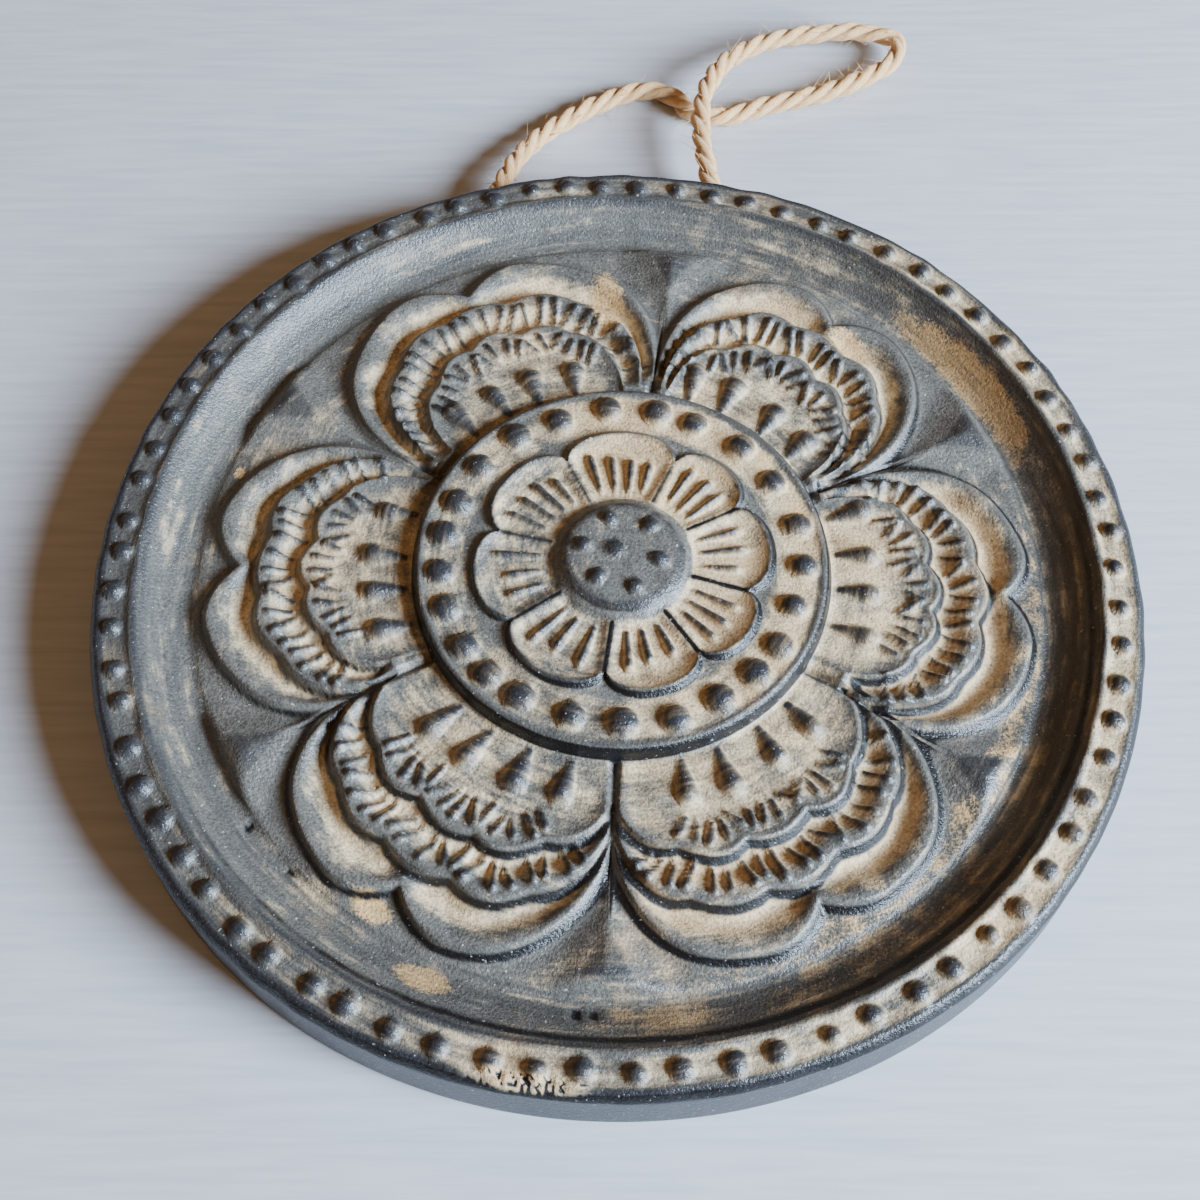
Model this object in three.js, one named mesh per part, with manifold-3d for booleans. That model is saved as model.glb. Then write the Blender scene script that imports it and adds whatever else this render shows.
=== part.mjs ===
// Round cast wall plaque with a carved flower, beaded borders and a loop of jute twine.
// Millimetres, +Z out of the carved face, +Y towards the twine, origin at the centre of the flat back.
import * as THREE from 'three';
import { mergeVertices } from 'three/addons/utils/BufferGeometryUtils.js';
import Module from 'manifold-3d';

// Driving dimensions
const rimRadius = 60;
const backRadius = 61.2;
const groundHeight = 5.8;
const carvingShift = { x: 0.6, y: 0.2 };
const outOfRound = 0.3;

// Angles in degrees of the seams between the six outer petals and the eight flower petals
const outerSeams = [24, 81, 150, 209, 268, 327];
const flowerSeams = [26, 64, 116, 166, 213, 262, 305, 343];

// The three raised outlines of an outer petal: radius at its crown, and the crest's height
// The reach of each petal is how far its outline spreads towards the two seams
const lobe = { crown: 48.0, crest: 7.1, round: 3.0, scallop: 0, notch: 3.4 };
const band = { crown: 41.9, crest: 7.6, round: 3.0, scallop: 1.0, notch: 0 };
const field = { crown: 36.4, crest: 7.9, round: 2.6, scallop: 1.2, notch: 0 };
lobe.reach = [1, 1, 1, 1, 1, 1];
band.reach = [0.92, 0.9, 0.97, 1, 1, 0.96];
field.reach = [0.84, 0.76, 0.88, 1, 1, 0.86];
// Radius at each seam: the upper seams run in to the medallion, and the lower ones part further out
lobe.seams = [28.2, 27.6, 28.4, 33.8, 31.8, 34.2];
band.seams = [26.6, 26.4, 26.8, 31.2, 30.4, 31.4];
field.seams = [25.6, 25.4, 25.6, 28.6, 28.4, 28.6];
const scallopCount = 5;
const lobeHollow = 5.6;
const bandHollow = 6.1;
const fieldHollow = 7.4;

// Medallion, flower and boss
const medallionRadius = 23.6;
const medallionTop = 9.35;
const medallionGround = 9.0;
const flower = { crown: 17.2, seam: 14.4, crest: 9.85, hollow: 8.9 };
const bossRadius = 7.0;
const bossEdge = 10.5;
const bossTop = 10.9;

// Beads, drops, ribs and wedges
const rimBead = { count: 74, radius: 57.7, size: 1.15, height: 0.85, ground: 8.75 };
const ringBead = { count: 24, radius: 20.9, size: 1.6, height: 0.95, ground: 9.0 };
const bossBead = { count: 6, radius: 4.6, size: 0.75, height: 0.4, ground: 10.75 };
const drop = { perPetal: 4, pitch: 10.8, lean: 2.0, tail: 24.9, head: 28.8, size: 1.2, height: 8.15 };
const petalRib = { perPetal: 3, pitch: 9.5, inner: 9.4, outer: 14.2, size: 0.5, height: 9.75 };
const wedge = { outer: 48.8, inner: 41.0, top: 47.2, halfWidth: 3.9, height: 7.4 };

// Twine: thickness, its two blind sockets in the edge and the route between them
const twineDiameter = 2.8;
const twineSteps = 42;
const socketRadius = 1.8;
const socketDepth = 4.6;
const socketHeight = 4.4;
const leftExit = new THREE.Vector3(-16.9, 58.5, socketHeight);
const rightExit = new THREE.Vector3(13.9, 59.3, socketHeight);
const leftWay = new THREE.Vector3(0.3, 0.95, 0).normalize();
const rightWay = new THREE.Vector3(-0.18, 0.98, 0).normalize();
const freeRoute = [
  [-15.4, 63.2, 4.3],
  [-13.5, 68.4, 3.5],
  [-10.6, 73.2, 2.6],
  [-6.4, 77.6, 1.9],
  [-1.0, 81.4, 1.6],
  [4.4, 83.6, 1.5],
  [8.2, 82.6, 1.5],
  [11.2, 79.4, 1.5],
  [15.2, 78.2, 1.5],
  [22.0, 80.4, 1.6],
  [30.4, 82.6, 1.9],
  [37.2, 85.6, 2.3],
  [41.4, 89.0, 2.6],
  [41.8, 92.4, 2.8],
  [37.6, 94.0, 3.0],
  [29.4, 93.2, 3.4],
  [21.6, 90.6, 3.9],
  [16.0, 85.8, 4.5],
  [13.0, 79.6, 4.8],
  [12.2, 72.8, 4.7],
  [13.0, 64.2, 4.5],
];

const plaqueFinish = new THREE.MeshStandardMaterial({ color: 0x7d7a72, roughness: 0.55, metalness: 0.1 });
const twineFinish = new THREE.MeshStandardMaterial({ color: 0xc79f68, roughness: 0.9, metalness: 0.0 });

const wasm = await Module();
wasm.setup();

const radians = THREE.MathUtils.degToRad;

// Column angles for a ring that follows petals: closer together towards the seams
function petalColumns(seams, perPetal) {
  const columns = [];
  seams.forEach((start, petal) => {
    const next = seams[(petal + 1) % seams.length];
    const width = (next - start + 360) % 360;
    for (let k = 0; k < perPetal; k += 1) {
      const across = Math.sin(Math.PI / 2 * (2 * k / perPetal - 1));
      columns.push({ angle: start + width * (across + 1) / 2, across, petal });
    }
  });
  return columns;
}

// Column angles for a plain circle
function evenColumns(count) {
  return Array.from({ length: count }, (_, k) => ({ angle: outerSeams[0] + 360 * k / count, across: 0 }));
}

// Radius of an outer petal's outline, from seam to seam across the petal
function outlineRadius(outline, column) {
  const across = THREE.MathUtils.clamp(column.across / outline.reach[column.petal], -1, 1);
  const side = Math.abs(across);
  const arch = Math.pow(Math.max(0, 1 - Math.pow(side, outline.round)), 0.62);
  const scallops = Math.abs(Math.cos(scallopCount * Math.PI * across / 2)) - 0.6;
  const scalloped = outline.scallop * scallops * (1 - side * side);
  const notched = outline.notch * Math.pow(Math.max(0, 1 - side / 0.3), 2);
  const nearSeam = across < 0 ? column.petal : (column.petal + 1) % outerSeams.length;
  const seam = outline.seams[nearSeam];
  return seam + (outline.crown - seam) * arch + scalloped - notched;
}

// Radius of the central flower's outline
function flowerRadius(across) {
  const arch = Math.pow(Math.max(0, 1 - Math.pow(Math.abs(across), 2.4)), 0.6);
  return flower.seam + (flower.crown - flower.seam) * arch;
}

// Place on the carved face: the middle sits a little off centre and the rim is a little out of round
function onFace(radius, degrees, height) {
  const turn = radians(degrees);
  const share = (radius / rimRadius) ** 2;
  const reach = radius - outOfRound * share * Math.cos(4 * turn);
  const shift = Math.max(0, 1 - share);
  const x = reach * Math.cos(turn) + carvingShift.x * shift;
  const y = reach * Math.sin(turn) + carvingShift.y * shift;
  return new THREE.Vector3(x, y, height);
}

// One ring of points: every column has its radius and height
function makeRing(columns, radiusAt, heightAt) {
  return columns.map((column) => {
    const place = onFace(radiusAt(column), column.angle, heightAt(column));
    return { angle: column.angle, point: place.toArray() };
  });
}

const circle = (count, radius, height) => makeRing(evenColumns(count), () => radius, () => height);

// Rings of the back edge, the side, the beaded rim and the cove, from the outside in
function rimRings() {
  const profile = [
    [backRadius, 0],
    [60.4, 7.6],
    [59.5, 8.9],
    [58.9, 9.2],
    [58.3, 8.75],
    [56.7, 8.75],
    [55.9, 9.3],
    [55.1, 8.4],
    [53.4, 6.7],
    [51.4, 5.95],
    [49.6, groundHeight],
  ];
  return profile.map(([radius, height]) => circle(84, radius, height));
}

// Rings of the six outer petals: three crests with a hollow inside each
function petalRings() {
  const columns = petalColumns(outerSeams, 18);
  const foot = medallionRadius + 0.9;
  const lobeAt = (column) => outlineRadius(lobe, column);
  const bandAt = (column) => outlineRadius(band, column);
  const fieldAt = (column) => outlineRadius(field, column);
  const between = (outer, inner, part) => (column) => outer(column) + (inner(column) - outer(column)) * part;
  const footAt = () => foot;
  const valley = (outer, inner, crest, hollow) => (column) => {
    const room = Math.min(1, (outer(column) - inner(column)) / 4);
    return crest + (hollow - crest) * room;
  };
  return [
    makeRing(columns, (column) => Math.min(49, lobeAt(column) + 1.3), () => groundHeight + 0.05),
    makeRing(columns, lobeAt, () => lobe.crest),
    makeRing(columns, between(lobeAt, bandAt, 0.3), valley(lobeAt, bandAt, lobe.crest, lobeHollow + 0.2)),
    makeRing(columns, between(lobeAt, bandAt, 0.75), valley(lobeAt, bandAt, lobe.crest, lobeHollow)),
    makeRing(columns, bandAt, () => band.crest),
    makeRing(columns, between(bandAt, fieldAt, 0.3), valley(bandAt, fieldAt, band.crest, bandHollow)),
    makeRing(columns, between(bandAt, fieldAt, 0.75), valley(bandAt, fieldAt, band.crest, bandHollow)),
    makeRing(columns, fieldAt, () => field.crest),
    makeRing(columns, between(fieldAt, footAt, 0.3), valley(fieldAt, footAt, field.crest, fieldHollow)),
    makeRing(columns, footAt, () => fieldHollow - 0.2),
  ];
}

// Rings of the medallion, its flower and the boss in the middle
function medallionRings() {
  const columns = petalColumns(flowerSeams, 10);
  const outline = (column) => flowerRadius(column.across);
  const seamRise = flower.crest - 0.15 - flower.hollow;
  const hollow = (column) => flower.hollow + seamRise * Math.abs(column.across) ** 8;
  return [
    circle(72, medallionRadius, medallionTop),
    circle(72, medallionRadius - 1.0, medallionGround),
    makeRing(columns, (column) => outline(column) + 0.9, () => medallionGround),
    makeRing(columns, outline, () => flower.crest),
    makeRing(columns, (column) => outline(column) - 1.4, hollow),
    makeRing(columns, () => bossRadius + 1.4, hollow),
    circle(32, bossRadius, bossEdge),
    circle(32, bossRadius - 1.2, bossTop),
  ];
}

// Triangles between two neighbouring rings, walking round both by angle
function stitch(outer, inner, outerStart, innerStart, triangles) {
  let i = 0;
  let j = 0;
  const angleAt = (ring, k) => ring[k % ring.length].angle + 360 * Math.floor(k / ring.length);
  while (i < outer.length || j < inner.length) {
    const outerNext = i < outer.length ? angleAt(outer, i + 1) : Infinity;
    const innerNext = j < inner.length ? angleAt(inner, j + 1) : Infinity;
    const a = outerStart + i % outer.length;
    const b = innerStart + j % inner.length;
    if (outerNext <= innerNext) {
      triangles.push(a, outerStart + (i + 1) % outer.length, b);
      i += 1;
    } else {
      triangles.push(a, innerStart + (j + 1) % inner.length, b);
      j += 1;
    }
  }
}

// The whole casting's skin: flat back, stitched rings and the boss's top
function castingGeometry() {
  const rings = [...rimRings(), ...petalRings(), ...medallionRings()];
  const points = [];
  const starts = [];
  const triangles = [];
  rings.forEach((ring) => {
    starts.push(points.length);
    ring.forEach((vertex) => points.push(vertex.point));
  });
  for (let k = 0; k + 1 < rings.length; k += 1) {
    stitch(rings[k], rings[k + 1], starts[k], starts[k + 1], triangles);
  }
  const backCentre = points.push([0, 0, 0]) - 1;
  const topCentre = points.push([carvingShift.x, carvingShift.y, bossTop + 0.05]) - 1;
  const first = rings[0];
  const last = rings[rings.length - 1];
  const lastStart = starts[starts.length - 1];
  first.forEach((_, k) => triangles.push(backCentre, (k + 1) % first.length, k));
  last.forEach((_, k) => triangles.push(topCentre, lastStart + k, lastStart + (k + 1) % last.length));
  const geometry = new THREE.BufferGeometry();
  geometry.setAttribute('position', new THREE.Float32BufferAttribute(points.flat(), 3));
  geometry.setIndex(triangles);
  return geometry;
}

// Closed solid from a geometry, for joining and cutting
function toSolid(geometry) {
  const plain = new THREE.BufferGeometry();
  plain.setAttribute('position', geometry.getAttribute('position').clone());
  plain.setIndex(geometry.getIndex());
  const merged = mergeVertices(plain, 1e-4);
  const mesh = new wasm.Mesh({
    numProp: 3,
    vertProperties: new Float32Array(merged.getAttribute('position').array),
    triVerts: new Uint32Array(merged.getIndex().array),
  });
  return new wasm.Manifold(mesh);
}

function toGeometry(solid) {
  const mesh = solid.getMesh();
  const geometry = new THREE.BufferGeometry();
  geometry.setAttribute('position', new THREE.BufferAttribute(new Float32Array(mesh.vertProperties), 3));
  geometry.setIndex(new THREE.BufferAttribute(new Uint32Array(mesh.triVerts), 1));
  const flat = geometry.toNonIndexed();
  flat.computeVertexNormals();
  return flat;
}

// Rounded bead: a low dome whose lower half is inside the casting
function beadSolid(bead, degrees, sides) {
  const dome = new THREE.SphereGeometry(1, sides, sides > 6 ? 4 : 3);
  dome.rotateX(Math.PI / 2);
  dome.scale(bead.size, bead.size, bead.height);
  dome.rotateZ(radians(degrees));
  const place = onFace(bead.radius, degrees, bead.ground);
  dome.translate(place.x, place.y, place.z);
  return toSolid(dome);
}

function beadCircle(bead, sides) {
  return Array.from({ length: bead.count }, (_, k) => beadSolid(bead, 360 * (k + 0.8) / bead.count, sides));
}

// Sharp-topped drop or rib that runs along a radius, widest and highest at its outer end
function ribSolid(degrees, inner, outer, size, height, depth) {
  const rib = new THREE.ConeGeometry(1, 1, 4);
  rib.rotateX(Math.PI / 2);
  const position = rib.getAttribute('position');
  const along = new THREE.Vector3(Math.cos(radians(degrees)), Math.sin(radians(degrees)), 0);
  const across = new THREE.Vector3(along.y, -along.x, 0);
  const tip = onFace(inner, degrees, 0);
  const head = onFace(outer, degrees, 0);
  const length = tip.distanceTo(head);
  for (let k = 0; k < position.count; k += 1) {
    const side = position.getX(k);
    const forward = position.getY(k);
    const reach = forward > 0 ? forward * size : forward * length;
    const top = position.getZ(k) > 0 ? height : height - depth;
    const place = head.clone().addScaledVector(along, reach).addScaledVector(across, side * size);
    position.setXYZ(k, place.x, place.y, top);
  }
  return toSolid(rib);
}

function dropSolids() {
  const drops = [];
  outerSeams.forEach((start, petal) => {
    const width = (outerSeams[(petal + 1) % outerSeams.length] - start + 360) % 360;
    for (let k = 0; k < drop.perPetal; k += 1) {
      const degrees = start + width / 2 + (k - (drop.perPetal - 1) / 2) * drop.pitch + drop.lean;
      drops.push(ribSolid(degrees, drop.tail, drop.head, drop.size, drop.height, 1.6));
    }
  });
  return drops;
}

function petalRibSolids() {
  const ribs = [];
  flowerSeams.forEach((start, petal) => {
    const width = (flowerSeams[(petal + 1) % flowerSeams.length] - start + 360) % 360;
    for (let k = 0; k < petalRib.perPetal; k += 1) {
      const degrees = start + width / 2 + (k - (petalRib.perPetal - 1) / 2) * petalRib.pitch;
      ribs.push(ribSolid(degrees, petalRib.inner, petalRib.outer, petalRib.size, petalRib.height, 1.2));
    }
  });
  return ribs;
}

// Three-sided wedge that stands on the ground outside each seam, with its point towards the middle
function wedgeSolid(degrees) {
  const peak = new THREE.ConeGeometry(1, 1, 3);
  peak.rotateX(Math.PI / 2);
  const position = peak.getAttribute('position');
  const across = new THREE.Vector3(Math.sin(radians(degrees)), -Math.cos(radians(degrees)), 0);
  for (let k = 0; k < position.count; k += 1) {
    const side = position.getX(k) / Math.sin(Math.PI / 3);
    const foot = position.getY(k) < -0.5 ? wedge.inner : wedge.outer;
    const isTop = position.getZ(k) > 0;
    const place = onFace(isTop ? wedge.top : foot, degrees, 0);
    place.addScaledVector(across, side * wedge.halfWidth);
    position.setXYZ(k, place.x, place.y, isTop ? wedge.height : groundHeight - 0.3);
  }
  return toSolid(peak);
}

// Blind socket that takes one end of the twine
function socketSolid(exit, way) {
  const hole = new THREE.CylinderGeometry(socketRadius, socketRadius, socketDepth + 6, 8);
  const middle = exit.clone().addScaledVector(way, 3 - socketDepth / 2);
  hole.applyQuaternion(new THREE.Quaternion().setFromUnitVectors(new THREE.Vector3(0, 1, 0), way));
  hole.translate(middle.x, middle.y, middle.z);
  return toSolid(hole);
}

function makePlaque() {
  let casting = toSolid(castingGeometry());
  const raised = [
    ...beadCircle(rimBead, 5),
    ...beadCircle(ringBead, 8),
    ...beadCircle(bossBead, 5),
    ...dropSolids(),
    ...petalRibSolids(),
    ...outerSeams.map(wedgeSolid),
  ];
  raised.forEach((solid) => {
    casting = casting.add(solid);
  });
  casting = casting.subtract(socketSolid(leftExit, leftWay)).subtract(socketSolid(rightExit, rightWay));
  const mesh = new THREE.Mesh(toGeometry(casting), plaqueFinish);
  mesh.name = 'plaque';
  return mesh;
}

// Jute twine from one socket round its loose loop and back to the other
function makeTwine() {
  const seated = socketDepth - 0.6;
  const points = [
    leftExit.clone().addScaledVector(leftWay, -seated),
    leftExit.clone(),
    ...freeRoute.map((place) => new THREE.Vector3(...place)),
    rightExit.clone(),
    rightExit.clone().addScaledVector(rightWay, -seated),
  ];
  const route = new THREE.CatmullRomCurve3(points, false, 'centripetal');
  const section = new THREE.Shape();
  for (let k = 0; k < 8; k += 1) {
    const turn = 2 * Math.PI * (k + 0.5) / 8;
    const x = Math.cos(turn) * twineDiameter / 2;
    const y = Math.sin(turn) * twineDiameter / 2;
    if (k === 0) {
      section.moveTo(x, y);
    } else {
      section.lineTo(x, y);
    }
  }
  const geometry = new THREE.ExtrudeGeometry(section, { steps: twineSteps, extrudePath: route });
  const mesh = new THREE.Mesh(geometry, twineFinish);
  mesh.name = 'twine';
  return mesh;
}

const part = new THREE.Group();
part.name = 'wall_plaque';
part.add(makePlaque(), makeTwine());

export default part;
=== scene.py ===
"""Looks of the round cast wall plaque: carved casting, jute twine, table, light and camera."""
import logging
import math
from dataclasses import dataclass, field
from enum import Enum

import bmesh
import bpy
import numpy as np
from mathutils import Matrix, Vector


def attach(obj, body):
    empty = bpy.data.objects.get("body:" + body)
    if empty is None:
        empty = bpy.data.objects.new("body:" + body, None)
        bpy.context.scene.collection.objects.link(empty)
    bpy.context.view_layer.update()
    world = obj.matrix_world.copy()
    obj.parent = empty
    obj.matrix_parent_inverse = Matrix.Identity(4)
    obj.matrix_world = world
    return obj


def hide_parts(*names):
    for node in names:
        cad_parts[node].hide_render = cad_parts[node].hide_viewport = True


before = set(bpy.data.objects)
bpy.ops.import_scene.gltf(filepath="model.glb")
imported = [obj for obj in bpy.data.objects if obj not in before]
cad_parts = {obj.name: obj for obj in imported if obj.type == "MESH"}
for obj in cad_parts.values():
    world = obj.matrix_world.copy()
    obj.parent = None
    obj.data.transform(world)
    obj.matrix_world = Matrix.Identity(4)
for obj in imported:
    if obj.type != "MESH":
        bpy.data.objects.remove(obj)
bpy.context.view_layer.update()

MM = 0.001
FULL_TURN = 360.0
LOG = logging.getLogger("wall_plaque")
Colour = tuple[float, float, float]
Place = tuple[float, float, float]
Range = tuple[float, float]


class Outline(Enum):
    """The three raised outlines of an outer petal, from the outside in."""

    LOBE = "lobe"
    BAND = "band"
    FIELD = "field"


class ZoneKind(Enum):
    """The rings that the casting's skin is rolled in, from the middle out."""

    BOSS = "boss"
    MEDALLION = "medallion"
    PETALS = "petals"
    COVE = "cove"
    RIM = "rim"
    EDGE = "edge"


@dataclass(frozen=True)
class Zone:
    """One ring of the skin, with its rows by distance along the section from the middle of the face."""

    kind: ZoneKind
    inner: float
    outer: float
    rows: int
    columns: int

    def share(self, walked: np.ndarray) -> np.ndarray:
        """Share of the way across the ring, 0 at its inner row and 1 at its outer one."""
        return (walked - self.inner) / (self.outer - self.inner)

    def column_degrees(self) -> np.ndarray:
        """Angle of every column in degrees."""
        return np.arange(self.columns) * FULL_TURN / self.columns


@dataclass(frozen=True)
class Profile:
    """Values along a section, straight between the places given."""

    places: tuple[float, ...]
    values: tuple[float, ...]

    def at(self, place: np.ndarray) -> np.ndarray:
        """Value at every place."""
        return np.interp(place, self.places, self.values)


@dataclass(frozen=True)
class Wear:
    """How a mark of the finish changes round the plaque: its strongest side, its mean and its swing."""

    side: float
    mean: float
    swing: float

    def at(self, degrees: np.ndarray) -> np.ndarray:
        """Strength at every angle."""
        return self.mean + self.swing * np.cos(np.radians(degrees - self.side))


def held(value: np.ndarray) -> np.ndarray:
    """Value held between 0 and 1."""
    return np.clip(value, 0.0, 1.0)


def line_at(away: np.ndarray, middle: float | np.ndarray, width: float) -> np.ndarray:
    """Soft line that fades to both sides.

    Args:
        away: Distances across the line.
        middle: Distance at which the line lies.
        width: How far it fades.

    Returns:
        Strength at every distance, 1 in the middle of the line.
    """
    return np.exp(-(((away - middle) / width) ** 2))


def on_circle(radius: float, degrees: float) -> np.ndarray:
    """Place on the face.

    Args:
        radius: Distance from the middle.
        degrees: Angle in degrees.

    Returns:
        The two coordinates.
    """
    turn = math.radians(degrees)
    return np.array([radius * math.cos(turn), radius * math.sin(turn)])


def petal_spans(seams: tuple[float, ...]) -> list[Range]:
    """First and last angle of every petal, from the angles of the seams between them."""
    return list(zip(seams, seams[1:] + (seams[0] + FULL_TURN,)))


def seam_place(degrees: np.ndarray, seams: tuple[float, ...]) -> tuple[np.ndarray, np.ndarray]:
    """Which petal an angle is in, and where across it.

    Args:
        degrees: Angles in degrees.
        seams: Angles of the seams between petals.

    Returns:
        Petal numbers, and places across from -1 at one seam to 1 at the next.
    """
    starts = np.array(seams)
    turned = (degrees - starts[0]) % FULL_TURN
    petal = np.searchsorted(starts - starts[0], turned, side="right") - 1
    ends = np.append(starts[1:], starts[0] + FULL_TURN)
    width = (ends - starts)[petal]
    return petal, 2.0 * (turned - (starts - starts[0])[petal]) / width - 1.0


class Unevenness:
    """Smooth irregularity of hand work: a sum of seeded waves over the face."""

    def __init__(self, seed: int, wavelength: float, waves: int = 16) -> None:
        """Draws the waves.

        Args:
            seed: Seed of the random draw.
            wavelength: Typical length of a wave in millimetres.
            waves: How many waves are added up.
        """
        draw = np.random.default_rng(seed)
        turn = draw.uniform(0.0, 2.0 * math.pi, waves)
        step = 2.0 * math.pi / (wavelength * draw.uniform(0.7, 1.6, waves))
        self.across = step * np.cos(turn)
        self.along = step * np.sin(turn)
        self.phase = draw.uniform(0.0, 2.0 * math.pi, waves)

    def at(self, x: np.ndarray, y: np.ndarray) -> np.ndarray:
        """Value of the irregularity, about -1 to 1.

        Args:
            x: Places across the face in millimetres.
            y: Places up the face in millimetres.

        Returns:
            One value for every place.
        """
        total = np.zeros_like(x)
        for across, along, phase in zip(self.across, self.along, self.phase):
            total += np.sin(across * x + along * y + phase)
        return total / math.sqrt(2.0 * len(self.phase))


@dataclass(frozen=True)
class BeadLook:
    """Roundness of a bead, the graphite on it, and the dark line round its foot: ink and painted shade."""

    roundness: float = 0.48
    graphite: float = 0.8
    graphite_spread: float = 0.4
    ink_and_shade: float = 0.45
    ink_place: float = 1.03
    ink_width: float = 0.22


@dataclass(frozen=True)
class StrokeLook:
    """The graphite on a stroke and the dark line along its foot: ink and painted shade."""

    graphite: float = 0.75
    graphite_spread: float = 0.6
    ink_and_shade: float = 0.5
    ink_place: float = 0.1
    ink_width: float = 0.3


class Face:
    """Points of the carved face, with the relief and the finish laid on them so far."""

    bead_look = BeadLook()
    stroke_look = StrokeLook()
    ink_wear = Wear(300.0, 0.72, 0.28)
    dust_wear = Wear(345.0, 0.84, 0.16)

    def __init__(self, radius: np.ndarray, degrees: np.ndarray) -> None:
        """Starts with a level face.

        Args:
            radius: Distance of every point from the middle in millimetres.
            degrees: Angle of every point in degrees.
        """
        self.radius = radius
        self.degrees = degrees
        self.x = radius * np.cos(np.radians(degrees))
        self.y = radius * np.sin(np.radians(degrees))
        self.height = np.zeros_like(radius)
        self.crest = np.zeros_like(radius)
        self.hollow = np.zeros_like(radius)
        # bare_and_shade: where the wash is worn, plus painted shade at the lower right; ink_and_shade: dark
        # lines in creases and holes, partly ink, partly painted shade
        self.bare_and_shade = np.zeros_like(radius)
        self.ink_and_shade = np.zeros_like(radius)

    def weather(self) -> None:
        """Leaves most ink at the lower right and most dust at the right, as the photo shows."""
        self.ink_and_shade *= self.ink_wear.at(self.degrees)
        self.hollow *= self.dust_wear.at(self.degrees)

    def to_seam(self, seams: tuple[float, ...]) -> tuple[np.ndarray, np.ndarray, np.ndarray]:
        """How far every point is from the nearest seam between petals.

        Args:
            seams: Angles of the seams.

        Returns:
            Petal numbers, places across the petal from -1 to 1, and distances in millimetres.
        """
        petal, across = seam_place(self.degrees, seams)
        widths = np.diff(np.append(seams, seams[0] + FULL_TURN))[petal]
        return petal, across, (1.0 - np.abs(across)) * np.radians(widths / 2.0) * self.radius

    def raise_bead(self, place: np.ndarray, size: float, height: float) -> None:
        """Adds a rounded bead.

        Args:
            place: Middle of the bead on the face.
            size: Radius of the bead.
            height: How far it stands up.
        """
        look = self.bead_look
        away = np.hypot(self.x - place[0], self.y - place[1]) / size
        rise = held(1.0 - away**2) ** look.roundness
        self.height += height * rise
        self.crest = np.maximum(self.crest, look.graphite * rise**look.graphite_spread)
        # dark ring round the bead's foot: ink and painted shade of the crease
        self.ink_and_shade = np.maximum(self.ink_and_shade, look.ink_and_shade * line_at(away, look.ink_place, look.ink_width))

    def raise_stroke(
        self, start: np.ndarray, end: np.ndarray, widths: Range, heights: Range, power: float
    ) -> None:
        """Adds a stroke: a ridge from one place to another.

        Args:
            start: Where the ridge begins.
            end: Where it ends.
            widths: Half width at the beginning and at the end.
            heights: Height at the beginning and at the end.
            power: Below 1 for a rounded top, above 1 for a sharp one.
        """
        look = self.stroke_look
        span = end - start
        share = held(((self.x - start[0]) * span[0] + (self.y - start[1]) * span[1]) / (span @ span))
        away = np.hypot(self.x - start[0] - share * span[0], self.y - start[1] - share * span[1])
        width = widths[0] + (widths[1] - widths[0]) * share
        rise = held(1.0 - (away / width) ** 2) ** power
        self.height += (heights[0] + (heights[1] - heights[0]) * share) * rise
        self.crest = np.maximum(self.crest, look.graphite * rise**look.graphite_spread)
        # dark line along the stroke's foot: ink and painted shade of the crease
        foot = line_at(away - width, look.ink_place, look.ink_width)
        self.ink_and_shade = np.maximum(self.ink_and_shade, look.ink_and_shade * share * foot)


@dataclass(frozen=True)
class OutlineSize:
    """Sizes of one raised outline of the outer petals."""

    crown: float
    seams: tuple[float, ...]
    crest: float
    roundness: float
    scallop: float
    notch: float
    reach: tuple[float, ...]


@dataclass(frozen=True)
class WedgeSize:
    """Sizes of the raised wedge outside each seam, and of the ground drawn up round it."""

    inner: float = 41.0
    outer: float = 48.8
    half_width: float = 3.9
    height: float = 7.5
    side_slope: float = 2.8
    end_slope: float = 1.1
    skirt: float = 0.9
    apron: float = 4.4
    apron_power: float = 1.7
    clear: float = 1.5
    graphite: float = 0.55
    graphite_spread: float = 2.5


@dataclass(frozen=True)
class StrokeSize:
    """Sizes of the short hand-cut strokes: the hatching of the bands and the ticks of the fields."""

    hatch_pitch: float = 1.9
    hatch_reach: float = 0.26
    hatch_place: float = 0.56
    hatch_spread: float = 0.86
    tick_pitch: float = 1.6
    tick_reach: float = 0.3
    tick_inset: float = 2.4
    tick_room: float = 3.8
    tick_spread: float = 0.3
    stray: float = 0.16
    slant: float = 0.35
    longest: float = 1.7
    lengths: Range = (0.75, 1.1)
    widths: Range = (0.5, 0.68)
    heights: Range = (0.5, 0.8)
    tail_width: float = 0.7
    tail_height: float = 0.8
    power: float = 1.1
    least_room: float = 2.2
    samples: int = 400


@dataclass(frozen=True)
class DropSize:
    """Sizes of the drops that stand round the medallion."""

    count: int = 4
    pitch: float = 10.8
    lean: float = 2.0
    stray: float = 0.8
    tail: float = 25.2
    tail_stray: float = 1.0
    tail_width: float = 0.5
    head: float = 28.9
    head_stray: Range = (-0.4, 0.6)
    sizes: Range = (1.35, 1.7)
    heights: Range = (0.15, 1.3)
    power: float = 0.8


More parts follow.
